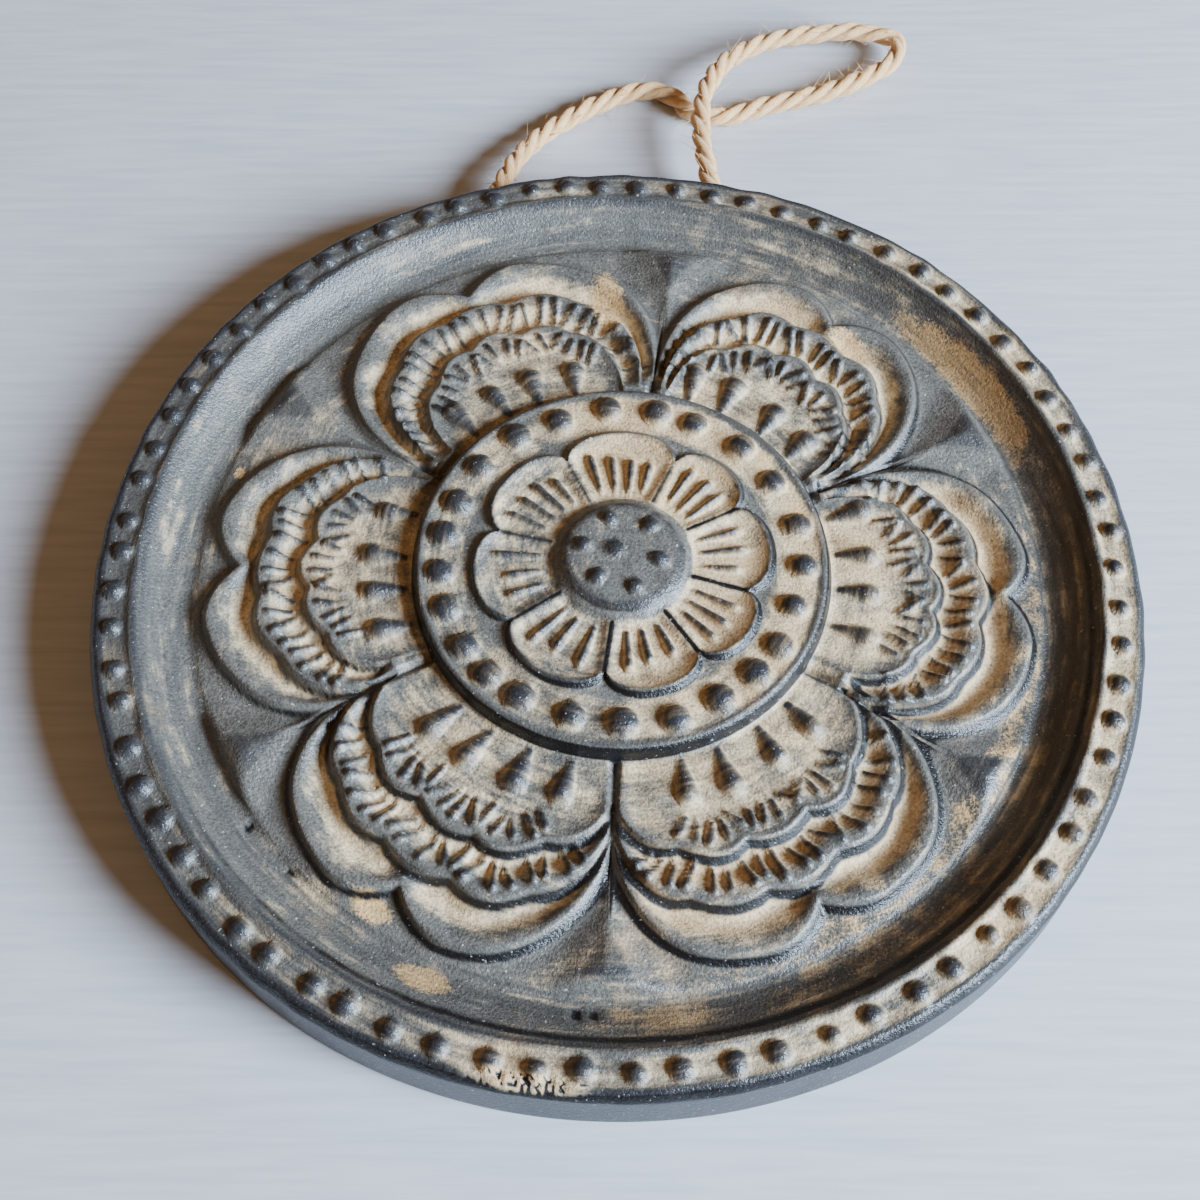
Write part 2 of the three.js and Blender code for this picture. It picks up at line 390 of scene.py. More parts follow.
@dataclass
class OuterPetals:
    """The six scalloped petals round the medallion, with their hatched bands and drops."""

    seams: tuple[float, ...] = (24.0, 81.0, 150.0, 209.0, 268.0, 327.0)
    ground: float = 5.8
    foot: float = 24.5
    foot_height: float = 7.2
    hollows: tuple[float, ...] = (5.6, 6.3, 7.2)
    lowest: float = 0.64
    trough_power: float = 1.5
    drop_width: float = 1.5
    crease: float = 0.75
    crease_width: float = 0.5
    seam_depth: float = 0.9
    seam_ink_and_shade: float = 0.6
    seam_past: float = 1.0
    seam_fade: float = 1.5
    scallops: int = 5
    scallop_mean: float = 0.6
    notch_half: float = 0.3
    arch_power: float = 0.62
    ridge: float = 1.0
    ridge_graphite: float = 0.3
    field_slope: float = 4.5
    field_dust: float = 0.5
    room: float = 4.0
    wobble: float = 0.22
    wobble_turns: Range = (11.0, 17.0)
    wedge: WedgeSize = WedgeSize()
    stroke: StrokeSize = StrokeSize()
    drop: DropSize = DropSize()
    outlines: dict[Outline, OutlineSize] = field(
        default_factory=lambda: {
            Outline.LOBE: OutlineSize(
                crown=48.0,
                seams=(28.2, 27.6, 28.4, 33.8, 31.8, 34.2),
                crest=7.1,
                roundness=3.0,
                scallop=0.0,
                notch=3.4,
                reach=(1.0,) * 6,
            ),
            Outline.BAND: OutlineSize(
                crown=41.9,
                seams=(26.6, 26.4, 26.8, 31.2, 30.4, 31.4),
                crest=7.6,
                roundness=3.0,
                scallop=1.0,
                notch=0.0,
                reach=(0.92, 0.9, 0.97, 1.0, 1.0, 0.96),
            ),
            Outline.FIELD: OutlineSize(
                crown=36.4,
                seams=(25.6, 25.4, 25.6, 28.6, 28.4, 28.6),
                crest=7.9,
                roundness=2.6,
                scallop=1.2,
                notch=0.0,
                reach=(0.84, 0.76, 0.88, 1.0, 1.0, 0.86),
            ),
        }
    )

    def radius(self, outline: Outline, degrees: np.ndarray) -> np.ndarray:
        """Radius of an outline.

        Args:
            outline: Which outline.
            degrees: Angles in degrees.

        Returns:
            The radius at every angle in millimetres.
        """
        size = self.outlines[outline]
        petal, across = seam_place(degrees, self.seams)
        across = np.clip(across / np.array(size.reach)[petal], -1.0, 1.0)
        side = np.abs(across)
        arch = np.maximum(0.0, 1.0 - side**size.roundness) ** self.arch_power
        waves = np.abs(np.cos(self.scallops * math.pi * across / 2.0)) - self.scallop_mean
        scalloped = size.scallop * waves * (1.0 - side**2)
        notched = size.notch * np.maximum(0.0, 1.0 - side / self.notch_half) ** 2
        turn = np.radians(degrees)
        slow, quick = self.wobble_turns
        waver = np.sin(slow * turn + size.crown) + np.sin(quick * turn + 2.0 * size.crown)
        seam = np.array(size.seams)[self._nearest_seam(petal, across)]
        return seam + (size.crown - seam) * arch + scalloped - notched + self.wobble * waver * arch

    def _nearest_seam(self, petal: np.ndarray, across: np.ndarray) -> np.ndarray:
        """Number of the nearest seam: the petal's first before its middle, its last after it."""
        return np.where(across < 0.0, petal, (petal + 1) % len(self.seams))

    def squareness(self, outline: Outline, degrees: np.ndarray) -> np.ndarray:
        """Share of a radial distance that is square to an outline.

        Args:
            outline: Which outline.
            degrees: Angles in degrees.

        Returns:
            The share at every angle, 1 where the outline runs along a circle.
        """
        step = 0.25
        rise = self.radius(outline, degrees + step) - self.radius(outline, degrees - step)
        slope = rise / np.radians(2.0 * step) / self.radius(outline, degrees)
        return 1.0 / np.sqrt(1.0 + slope**2)

    def lay(self, face: Face, work: np.random.Generator) -> None:
        """Lays the petals on the face.

        Args:
            face: Points of the face between the cove and the medallion.
            work: Seeded draw for the hand-cut strokes.
        """
        radii = {outline: self.radius(outline, face.degrees) for outline in Outline}
        crests = {outline: self.outlines[outline].crest for outline in Outline}
        beyond = (face.radius - radii[Outline.LOBE]) * self.squareness(Outline.LOBE, face.degrees)
        fall = held(beyond / self.drop_width)
        drop = (crests[Outline.LOBE] - self.ground) * np.sin(0.5 * math.pi * fall)
        face.height[:] = crests[Outline.LOBE] - drop
        face.crest[:] = self.ridge_graphite * held(1.0 - beyond / self.ridge)
        face.ink_and_shade[:] = self._crease_ink_and_shade(beyond)
        inner_radii = [radii[Outline.BAND], radii[Outline.FIELD], np.full_like(face.radius, self.foot)]
        inner_crests = [crests[Outline.BAND], crests[Outline.FIELD], self.foot_height]
        for outline, inner, crest, hollow in zip(Outline, inner_radii, inner_crests, self.hollows):
            self._lay_hollow(face, outline, radii[outline], inner, crest, hollow)
        self._cut_seams(face)
        self._lay_wedges(face)
        self._lay_strokes(face, work)
        self._lay_drops(face, work)
        face.weather()

    def _lay_hollow(
        self,
        face: Face,
        outline: Outline,
        outer: np.ndarray,
        inner: np.ndarray,
        inner_crest: float,
        hollow: float,
    ) -> None:
        """Lays the hollow between one outline and the next.

        Args:
            face: Points of the face.
            outline: The outer outline.
            outer: Radius of the outline at every point.
            inner: Radius of the next outline inwards.
            inner_crest: Height of the next crest.
            hollow: Height of the hollow's floor where there is room for it.
        """
        square = self.squareness(outline, face.degrees)
        crest = self.outlines[outline].crest
        inside = (face.radius <= outer) & (face.radius >= inner - 1e-6)
        gap = np.maximum(outer - inner, 1e-3)
        share = held((outer - face.radius) / gap)
        level = crest + (inner_crest - crest) * share
        room = held(gap * square / self.room)
        from_outer = (outer - face.radius) * square
        from_inner = (face.radius - inner) * square
        if outline is Outline.FIELD:
            trough = 1.0 - held(1.0 - from_outer / self.field_slope) ** 2
            from_inner = from_inner + self.ridge
            line = np.zeros_like(trough)
            dust = self.field_dust * trough * room
        else:
            bend = math.log(0.5) / math.log(self.lowest)
            trough = np.sin(math.pi * share**bend) ** self.trough_power
            line = self._crease_ink_and_shade(from_inner)
            dust = trough * room
        ridge = held(1.0 - np.minimum(from_outer, from_inner) / self.ridge)
        face.height[:] = np.where(inside, level - (level - hollow) * room * trough, face.height)
        face.crest[:] = np.where(inside, self.ridge_graphite * ridge, face.crest)
        face.hollow[:] = np.where(inside, dust, face.hollow)
        face.ink_and_shade[:] = np.where(inside, line, face.ink_and_shade)

    def _crease_ink_and_shade(self, beyond: np.ndarray) -> np.ndarray:
        """Dark line in the crease at the foot of a layer's edge: ink and painted shade."""
        return line_at(beyond, self.crease, self.crease_width) * (beyond >= 0.0)

    def _cut_seams(self, face: Face) -> None:
        """Cuts the crease between neighbouring petals, from the medallion out to where their edges part.

        Args:
            face: Points of the face.
        """
        petal, across, to_seam = face.to_seam(self.seams)
        parting = np.array(self.outlines[Outline.LOBE].seams)[self._nearest_seam(petal, across)]
        reach = held((parting + self.seam_past - face.radius) / self.seam_fade)
        groove_and_shade = reach * line_at(to_seam, 0.0, self.crease_width)
        face.height -= self.seam_depth * groove_and_shade
        # dark line in the seam's crease: ink and painted shade
        face.ink_and_shade[:] = np.maximum(face.ink_and_shade, self.seam_ink_and_shade * groove_and_shade)

    def _lay_wedges(self, face: Face) -> None:
        """Stands a three-sided wedge on the ground outside each seam, with its point towards the middle.

        Args:
            face: Points of the face.
        """
        wedge = self.wedge
        outside = held((face.radius - self.radius(Outline.LOBE, face.degrees)) / wedge.clear)
        for degrees in self.seams:
            out = on_circle(1.0, degrees)
            forward = face.x * out[0] + face.y * out[1]
            aside = np.abs(face.y * out[0] - face.x * out[1])
            to_side = wedge.half_width * (forward - wedge.inner) / (wedge.outer - wedge.inner) - aside
            to_end = wedge.outer - forward
            rise = held(np.minimum(to_side / wedge.side_slope, to_end / wedge.end_slope))
            apron = held(1.0 + np.minimum(to_side, 2.0 * to_end) / wedge.apron) ** wedge.apron_power
            apron *= (forward > wedge.inner - wedge.apron) * outside
            face.height += wedge.skirt * apron + (wedge.height - self.ground - wedge.skirt) * rise
            face.crest[:] = np.maximum(face.crest, wedge.graphite * held(wedge.graphite_spread * rise))

    def _lay_strokes(self, face: Face, work: np.random.Generator) -> None:
        """Lays the hatching in each band and the short ticks along the edge of each field.

        Args:
            face: Points of the face.
            work: Seeded draw for the hand-cut strokes.
        """
        size = self.stroke
        for start, end in petal_spans(self.seams):
            middle = (start + end) / 2.0
            spread = np.linspace(-size.hatch_spread, size.hatch_spread, size.samples)
            degrees = middle + (end - start) / 2.0 * spread
            band = self.radius(Outline.BAND, degrees)
            edge = self.radius(Outline.FIELD, degrees)
            row = size.hatch_place * band + (1.0 - size.hatch_place) * edge
            self._lay_row(face, work, degrees, row, size.hatch_reach * (band - edge), size.hatch_pitch)
            near = np.abs(degrees - middle) < size.tick_spread * (end - start)
            row = edge[near] - size.tick_inset
            reach = np.full_like(row, size.tick_reach * size.tick_room)
            self._lay_row(face, work, degrees[near], row, reach, size.tick_pitch)

    def _lay_row(
        self,
        face: Face,
        work: np.random.Generator,
        degrees: np.ndarray,
        radius: np.ndarray,
        reach: np.ndarray,
        pitch: float,
    ) -> None:
        """Lays a row of strokes square to a curve.

        Args:
            face: Points of the face.
            work: Seeded draw for the hand-cut strokes.
            degrees: Angles of the curve's points.
            radius: Radii of the curve's points.
            reach: Half length of a stroke at every point of the curve.
            pitch: Distance between strokes.
        """
        size = self.stroke
        x = radius * np.cos(np.radians(degrees))
        y = radius * np.sin(np.radians(degrees))
        walked = np.append(0.0, np.cumsum(np.hypot(np.diff(x), np.diff(y))))
        count = int(walked[-1] / pitch)
        for k in range(count):
            place = (k + 0.5 + work.uniform(-size.stray, size.stray)) / count * walked[-1]
            here = int(np.clip(np.searchsorted(walked, place), 3, len(x) - 4))
            along = np.array([x[here + 3] - x[here - 3], y[here + 3] - y[here - 3]])
            along /= np.linalg.norm(along)
            out = np.array([along[1], -along[0]]) + size.slant * work.uniform(-1.0, 1.0) * along
            half = min(reach[here], size.longest) * work.uniform(*size.lengths) * out
            width = work.uniform(*size.widths)
            height = work.uniform(*size.heights)
            if reach[here] < size.hatch_reach * size.least_room:
                continue
            middle = np.array([x[here], y[here]])
            widths = (size.tail_width * width, width)
            heights = (size.tail_height * height, height)
            face.raise_stroke(middle - half, middle + half, widths, heights, size.power)

    def _lay_drops(self, face: Face, work: np.random.Generator) -> None:
        """Lays the drops that stand round the medallion, tail inwards and head outwards.

        Args:
            face: Points of the face.
            work: Seeded draw for the hand-cut strokes.
        """
        size = self.drop
        for start, end in petal_spans(self.seams):
            for k in range(size.count):
                degrees = (start + end) / 2.0 + (k - (size.count - 1) / 2.0) * size.pitch + size.lean
                degrees += work.uniform(-size.stray, size.stray)
                head = size.head + work.uniform(*size.head_stray)
                widths = (size.tail_width, work.uniform(*size.sizes))
                tail = on_circle(size.tail, degrees + work.uniform(-size.tail_stray, size.tail_stray))
                face.raise_stroke(tail, on_circle(head, degrees), widths, size.heights, size.power)


@dataclass(frozen=True)
class RibSize:
    """Sizes of the ribs on the flower's petals."""

    few: int = 3
    many: int = 4
    wide_petal: float = 49.0
    spread: float = 0.74
    stray: float = 0.8
    tail: float = 9.4
    tail_stray: Range = (0.0, 0.6)
    head: float = 13.5
    head_stray: Range = (-0.5, 0.9)
    widths: Range = (0.42, 0.66)
    heights: Range = (0.4, 0.9)


@dataclass
class Medallion:
    """The raised disc in the middle, with its ring of beads, its flower and its dotted boss."""

    section: Profile = Profile(
        (0.0, 5.8, 6.6, 7.0, 8.4, 22.6, 23.5, 24.0, 24.5),
        (10.5, 10.45, 10.35, 10.0, 9.0, 9.0, 9.3, 9.0, 7.2),
    )
    boss_graphite: Profile = Profile((5.6, 6.9, 7.6), (0.22, 0.7, 0.0))
    boss_ink_and_shade: Profile = Profile((6.3, 6.8, 7.4, 7.8), (0.0, 0.6, 0.6, 0.0))
    ring_dust: Profile = Profile((17.5, 18.5, 22.4, 23.2), (0.0, 0.8, 0.8, 0.0))
    wall_graphite: Profile = Profile((22.6, 23.5, 24.4), (0.0, 0.45, 0.5))
    wall_ink_and_shade: Profile = Profile((23.6, 24.0, 24.4), (0.0, 1.2, 1.2))
    dust_wear: Wear = Wear(40.0, 0.77, 0.23)
    wall_foot: float = 23.9
    seams: tuple[float, ...] = (26.0, 64.0, 116.0, 166.0, 213.0, 262.0, 305.0, 343.0)
    crown: float = 17.2
    seam: float = 14.4
    roundness: float = 2.4
    arch_power: float = 0.6
    ground: float = 9.0
    crest: float = 9.85
    hollow: float = 8.8
    flower_inner: float = 8.4
    flower_outer: float = 19.6
    fall: float = 1.1
    brim: float = 3.0
    flank: float = 1.7
    flank_height: float = 0.9
    brim_bare: float = 0.4
    groove_width: float = 0.35
    groove_depth: float = 0.35
    groove_end: float = 0.3
    ridge: float = 0.9
    ridge_graphite: float = 0.7
    line_place: float = 0.5
    line_width: float = 0.4
    rib: RibSize = RibSize()
    ring_radius: float = 20.9
    ring_stray: float = 0.3
    ring_sizes: Range = (1.6, 1.9)
    ring_heights: Range = (1.15, 1.35)
    ring_degrees: tuple[float, ...] = (
        12.0, 30.0, 46.5, 64.5, 77.5, 94.0, 111.0, 126.5, 143.0, 158.5, 171.0, 185.0,
        198.0, 213.0, 225.0, 237.0, 254.0, 270.0, 286.0, 301.0, 315.0, 327.0, 342.0, 357.0,
    )
    dots: int = 6
    dot_ring: float = 4.6
    dot_stray: float = 0.4
    dot_turn: float = 0.8
    dot_sizes: Range = (0.9, 1.1)
    dot_height: float = 0.75
    middle_dot: tuple[float, float, float, float] = (1.0, 150.0, 1.2, 0.55)

    def outline(self, degrees: np.ndarray) -> np.ndarray:
        """Radius of the flower's outline at every angle.

        Args:
            degrees: Angles in degrees.

        Returns:
            The radius at every angle in millimetres.
        """
        _, across = seam_place(degrees, self.seams)
        arch = np.maximum(0.0, 1.0 - np.abs(across) ** self.roundness) ** self.arch_power
        return self.seam + (self.crown - self.seam) * arch

    def lay(self, face: Face, work: np.random.Generator) -> None:
        """Lays the medallion on the face.

        Args:
            face: Points of the face inside the outer petals.
            work: Seeded draw for the hand-cut strokes and beads.
        """
        face.height[:] = self.section.at(face.radius)
        face.crest[:] = self.boss_graphite.at(face.radius) + self.wall_graphite.at(face.radius)
        face.hollow[:] = self.ring_dust.at(face.radius)
        # dark rings at the feet of the boss and of the medallion's wall: ink and painted shade of the
        # creases
        face.ink_and_shade[:] = self.boss_ink_and_shade.at(face.radius) + self.wall_ink_and_shade.at(face.radius)
        self._lay_flower(face)
        self._lay_ribs(face, work)
        for degrees in self.ring_degrees:
            place = on_circle(self.ring_radius + work.uniform(-self.ring_stray, self.ring_stray), degrees)
            face.raise_bead(place, work.uniform(*self.ring_sizes), work.uniform(*self.ring_heights))
        face.weather()
        face.hollow *= self.dust_wear.at(face.degrees)
        for k in range(self.dots):
            degrees = FULL_TURN * (k + self.dot_turn) / self.dots
            place = on_circle(self.dot_ring + work.uniform(-self.dot_stray, self.dot_stray), degrees)
            face.raise_bead(place, work.uniform(*self.dot_sizes), self.dot_height)
        radius, degrees, size, height = self.middle_dot
        face.raise_bead(on_circle(radius, degrees), size, height)

    def _lay_flower(self, face: Face) -> None:
        """Lays the eight petals of the flower.

        Args:
            face: Points of the face.
        """
        _, _, to_seam = face.to_seam(self.seams)
        beyond = face.radius - self.outline(face.degrees)
        outside = held(1.0 - beyond / self.fall) ** 2
        brim = held(1.0 + beyond / self.brim) ** 2
        flank = held(1.0 - to_seam / self.flank) ** 2
        ground = self.ground + (self.crest - self.ground) * outside
        hollow = self.hollow + (self.crest - self.hollow) * np.maximum(brim, self.flank_height * flank)
        on_flower = (face.radius > self.flower_inner) & (face.radius < self.flower_outer)
        groove_and_shade = line_at(to_seam, 0.0, self.groove_width) * (beyond < self.groove_end)
        height = np.where(beyond > 0.0, ground, hollow) - self.groove_depth * groove_and_shade
        face.height[:] = np.where(on_flower, height, face.height)
        near = np.where(beyond > 0.0, beyond, np.minimum(-beyond, to_seam))
        ridge = self.ridge_graphite * held(1.0 - near / self.ridge)
        face.crest[:] = np.where(on_flower, np.maximum(face.crest, ridge), face.crest)
        # dark line at the foot of the flower's outline and in its seams: ink and painted shade
        line = np.maximum(line_at(beyond, self.line_place, self.line_width), groove_and_shade)
        face.ink_and_shade[:] = np.where(on_flower, np.maximum(face.ink_and_shade, line), face.ink_and_shade)
        dust = 1.0 - self.brim_bare * np.maximum(brim, flank)
        face.hollow[:] = np.where(on_flower & (beyond < 0.0), dust, face.hollow)

    def _lay_ribs(self, face: Face, work: np.random.Generator) -> None:
        """Lays the ribs on the flower's petals, more on the wide ones.

        Args:
            face: Points of the face.
            work: Seeded draw for the hand-cut strokes.
        """
        size = self.rib
        for start, end in petal_spans(self.seams):
            ribs = size.many if end - start > size.wide_petal else size.few
            pitch = size.spread * (end - start) / ribs
            for k in range(ribs):
                degrees = (start + end) / 2.0 + (k - (ribs - 1) / 2.0) * pitch
                degrees += work.uniform(-size.stray, size.stray)
                tail = on_circle(size.tail + work.uniform(*size.tail_stray), degrees)
                head = on_circle(size.head + work.uniform(*size.head_stray), degrees)
                face.raise_stroke(tail, head, size.widths, size.heights, 1.0)


@dataclass
class BeadedRim:
    """The cove, the beaded channel between two lips, the drafted edge and the flat back."""

    beads: int = 74
    bead_turn: float = 0.8
    bead_stray: float = 0.5
    bead_radius: float = 57.9
    bead_drift: float = 0.3
    bead_sizes: Range = (1.05, 1.35)
    bead_heights: Range = (0.9, 1.1)
    cove_graphite: Profile = Profile((50.0, 52.0, 54.2, 55.6, 56.4), (0.3, 0.42, 0.3, 0.6, 0.2))
    roll_graphite: Profile = Profile((58.9, 59.6, 60.2), (0.0, 0.3, 0.7))
    shaded_graphite: Profile = Profile((55.4, 56.4), (0.0, 0.28))
    shade: Wear = Wear(340.0, 0.5, -0.5)
    crease_ink_and_shade: Profile = Profile((49.5, 49.8, 50.2, 53.6, 54.7, 55.4), (0.0, 0.5, 0.0, 0.0, 0.95, 0.0))
    roll_ink: Profile = Profile((59.9, 60.3), (0.0, 1.2))
    ink_wear: Wear = Wear(295.0, 0.45, 0.55)
    channel_dust: Profile = Profile((55.8, 56.6, 59.2, 59.8), (0.3, 1.0, 1.0, 0.0))
    dust_wear: Wear = Wear(340.0, 0.3, 0.33)
    rounding: float = 0.11
    rounding_weights: tuple[float, ...] = (0.06, 0.12, 0.2, 0.24, 0.2, 0.12, 0.06)
    section: tuple[Place, ...] = (
        (48.0, 48.0, 5.8),
        (49.5, 49.5, 5.8),
        (50.1, 50.1, 5.3),
        (51.6, 51.6, 5.8),
        (53.4, 53.4, 6.95),
        (55.1, 55.1, 8.5),
        (55.9, 55.9, 9.3),
        (56.7, 56.7, 8.8),
        (59.0, 59.0, 8.8),
        (59.6, 59.6, 9.1),
        (60.1, 60.1, 8.9),
        (61.0, 60.75, 8.0),
        (68.4, 61.18, 0.2),
        (68.7, 61.0, 0.0),
        (129.2, 0.0, 0.0),
        (131.0, 0.0, 0.0),
    )

    def follow(self, walked: np.ndarray) -> tuple[np.ndarray, np.ndarray]:
        """Radius and height along the section, with its corners rounded.

        Args:
            walked: Distances along the section.

        Returns:
            Radii and heights.
        """
        places, radii, heights = np.array(self.section).T
        radius = np.zeros_like(walked)
        height = np.zeros_like(walked)
        for k, weight in enumerate(self.rounding_weights):
            near = walked + self.rounding * (k - len(self.rounding_weights) // 2)
            radius += weight * np.interp(near, places, radii)
            height += weight * np.interp(near, places, heights)
        return radius, np.maximum(height, 0.0)

    def lay(self, face: Face, work: np.random.Generator) -> None:
        """Lays the beads and the worn places on the rim.

        Args:
            face: Points of the cove and the rim, with the section's heights.
            work: Seeded draw for the hand-made beads.
        """
        face.crest += self.cove_graphite.at(face.radius) + self.roll_graphite.at(face.radius)
        face.crest += self.shaded_graphite.at(face.radius) * self.shade.at(face.degrees)
        # dark lines in the creases at both edges of the cove: ink and painted shade; the dark line on the
        # outer roll is ink
        face.ink_and_shade[:] = self.crease_ink_and_shade.at(face.radius) + self.roll_ink.at(face.radius)
        face.ink_and_shade *= held(self.ink_wear.at(face.degrees))
        face.hollow[:] = self.channel_dust.at(face.radius) * self.dust_wear.at(face.degrees)
        for k in range(self.beads):
            degrees = FULL_TURN * (k + self.bead_turn) / self.beads
            degrees += work.uniform(-self.bead_stray, self.bead_stray)
            place = on_circle(self.bead_radius + work.uniform(-self.bead_drift, self.bead_drift), degrees)
            face.raise_bead(place, work.uniform(*self.bead_sizes), work.uniform(*self.bead_heights))


@dataclass(frozen=True)
class BarePatch:
    """A place where the dark wash is gone: angle, radius, half length, half width, how far gone and fade."""

    degrees: float
    radius: float
    along: float
    across: float
    gone: float = 1.0
    fade: float = 1.6

    def lay(self, face: Face) -> None:
        """Marks the place on the face.

        Args:
            face: Points of the face.
        """
        half_turn = FULL_TURN / 2.0
        turned = (face.degrees - self.degrees + half_turn) % FULL_TURN - half_turn
        along = np.radians(turned) * self.radius / self.along
        across = (face.radius - self.radius) / self.across
        mark = self.gone * held(self.fade - np.hypot(along, across))
        face.bare_and_shade[:] = np.maximum(face.bare_and_shade, mark)


@dataclass(frozen=True)
class Pit:
    """A small hole in the casting."""

    degrees: float
    radius: float
    size: float
    depth: float

    def sink(self, face: Face) -> None:
        """Sinks the hole in the face and darkens it: painted shade.

        Args:
            face: Points of the face.
        """
        place = on_circle(self.radius, self.degrees)
        away = np.hypot(face.x - place[0], face.y - place[1]) / self.size
        hole = held(1.0 - away**2)
        face.height -= self.depth * hole
        # the hole is darkened: painted shade
        face.ink_and_shade[:] = np.maximum(face.ink_and_shade, hole**0.5)


class NodeBench:
    """Adds nodes to a node tree and joins them."""

    def __init__(self, tree: bpy.types.NodeTree) -> None:
        """Keeps the tree that the nodes go in."""
        self.tree = tree

    def add(self, kind: str, **settings: object) -> bpy.types.Node:
        """Adds a node.

        Args:
            kind: Blender's name of the node type.
            settings: Values of the node's own properties.

        Returns:
            The node.
        """
        node = self.tree.nodes.new(kind)
        for name, value in settings.items():
            setattr(node, name, value)
        return node

    def feed(self, socket: bpy.types.NodeSocket, value: object) -> None:
        """Joins a socket to another, or sets it where a plain value is given.

        Args:
            socket: The socket that is fed.
            value: Another node's socket, a number or a colour.
        """
        if isinstance(value, bpy.types.NodeSocket):
            self.tree.links.new(value, socket)
        elif isinstance(value, tuple) and len(value) == 3 and socket.type == "RGBA":
            socket.default_value = (*value, 1.0)
        else:
            socket.default_value = value

    def math(self, operation: str, first: object, second: object = 0.0) -> bpy.types.NodeSocket:
        """Result of one operation on two values.

        Args:
            operation: Blender's name of the operation.
            first: First value or socket.
            second: Second value or socket.

        Returns:
            The result's socket.
        """
        node = self.add("ShaderNodeMath", operation=operation)
        self.feed(node.inputs[0], first)
        self.feed(node.inputs[1], second)
        return node.outputs[0]

    def sum(
        self, first: object, first_weight: float, second: object, second_weight: float, offset: float = 0.0
    ) -> bpy.types.NodeSocket:
        """Weighted sum of two values and an offset.

        Args:
            first: First value or socket.
            first_weight: Its weight.
            second: Second value or socket.
            second_weight: Its weight.
            offset: Number added to both.

        Returns:
            The sum's socket.
        """
        total = offset
        for value, weight in ((first, first_weight), (second, second_weight)):
            node = self.add("ShaderNodeMath", operation="MULTIPLY_ADD")
            self.feed(node.inputs[0], value)
            self.feed(node.inputs[1], weight)
            self.feed(node.inputs[2], total)
            total = node.outputs[0]
        return total

    def step(self, value: object, low: object, high: object) -> bpy.types.NodeSocket:
        """Soft step from 0 at low to 1 at high.

        Args:
            value: Value or socket that is stepped.
            low: Where the step begins.
            high: Where it ends.

        Returns:
            The step's socket.
        """
        node = self.add("ShaderNodeMapRange", interpolation_type="SMOOTHSTEP")
        self.feed(node.inputs["Value"], value)
        self.feed(node.inputs["From Min"], low)
        self.feed(node.inputs["From Max"], high)
        return node.outputs["Result"]

    def blend(self, share: object, first: object, second: object, mode: str = "MIX") -> bpy.types.NodeSocket:
        """Mix of two colours.

        Args:
            share: Share of the second colour.
            first: First colour or socket.
            second: Second colour or socket.
            mode: Blender's name of the way they mix.

        Returns:
            The mix's socket.
        """
        node = self.add("ShaderNodeMix", data_type="RGBA", blend_type=mode)
        self.feed(node.inputs["Factor"], share)
        self.feed(node.inputs[6], first)
        self.feed(node.inputs[7], second)
        return node.outputs[2]

    def tint(self, share: object, strength: float, first: object, second: object) -> bpy.types.NodeSocket:
        """Mix of two colours, with the second at no more than a given strength."""
        return self.blend(self.math("MULTIPLY", share, strength), first, second)

    def noise(
        self, place: object, scale: object, detail: float = 3.0, rough: float = 0.55
    ) -> bpy.types.NodeSocket:
        """Cloudy noise, about 0.5 on average.

        Args:
            place: Coordinates.
            scale: How fine it is.
            detail: How many finer layers it has.
            rough: How strong those layers are.

        Returns:
            The noise's socket.
        """
        node = self.add("ShaderNodeTexNoise")
        self.feed(node.inputs["Vector"], place)
        self.feed(node.inputs["Scale"], scale)
        self.feed(node.inputs["Detail"], detail)
        self.feed(node.inputs["Roughness"], rough)
        return node.outputs["Fac"]

    def mark(self, name: str) -> bpy.types.NodeSocket:
        """Value that the mesh carries under a name."""
        return self.add("ShaderNodeAttribute", attribute_name=name).outputs["Fac"]

    def object_place(self) -> bpy.types.NodeSocket:
        """Object coordinates."""
        return self.add("ShaderNodeTexCoord").outputs["Object"]

    def stretch(self, place: object, scale: Place) -> bpy.types.NodeSocket:
        """Coordinates stretched along their axes.

        Args:
            place: Coordinates.
            scale: Factor on each axis.

        Returns:
            The stretched coordinates' socket.
        """
        node = self.add("ShaderNodeMapping")
        self.feed(node.inputs["Vector"], place)
        self.feed(node.inputs["Scale"], scale)
        return node.outputs["Vector"]

    def group(self, tree: bpy.types.NodeTree, **values: object) -> bpy.types.NodeSocket:
        """Places a shared effect and returns its first output.

        Args:
            tree: Node group of the effect.
            values: What its inputs are fed.

        Returns:
            The socket of its first output.
        """
        node = self.add("ShaderNodeGroup", node_tree=tree)
        for name, value in values.items():
            self.feed(node.inputs[name], value)
        return node.outputs[0]

    def emboss(self, shader: bpy.types.Node, height: object, strength: float, depth: float) -> None:
        """Gives a shader's surface a fine relief.

        Args:
            shader: The Principled BSDF.
            height: Height of the relief, 0 to 1.
            strength: How much of it shows.
            depth: Its full depth in millimetres.
        """
        bump = self.add("ShaderNodeBump")
        self.feed(bump.inputs["Strength"], strength)
        self.feed(bump.inputs["Distance"], depth * MM)
        self.feed(bump.inputs["Height"], height)
        self.feed(shader.inputs["Normal"], bump.outputs["Normal"])


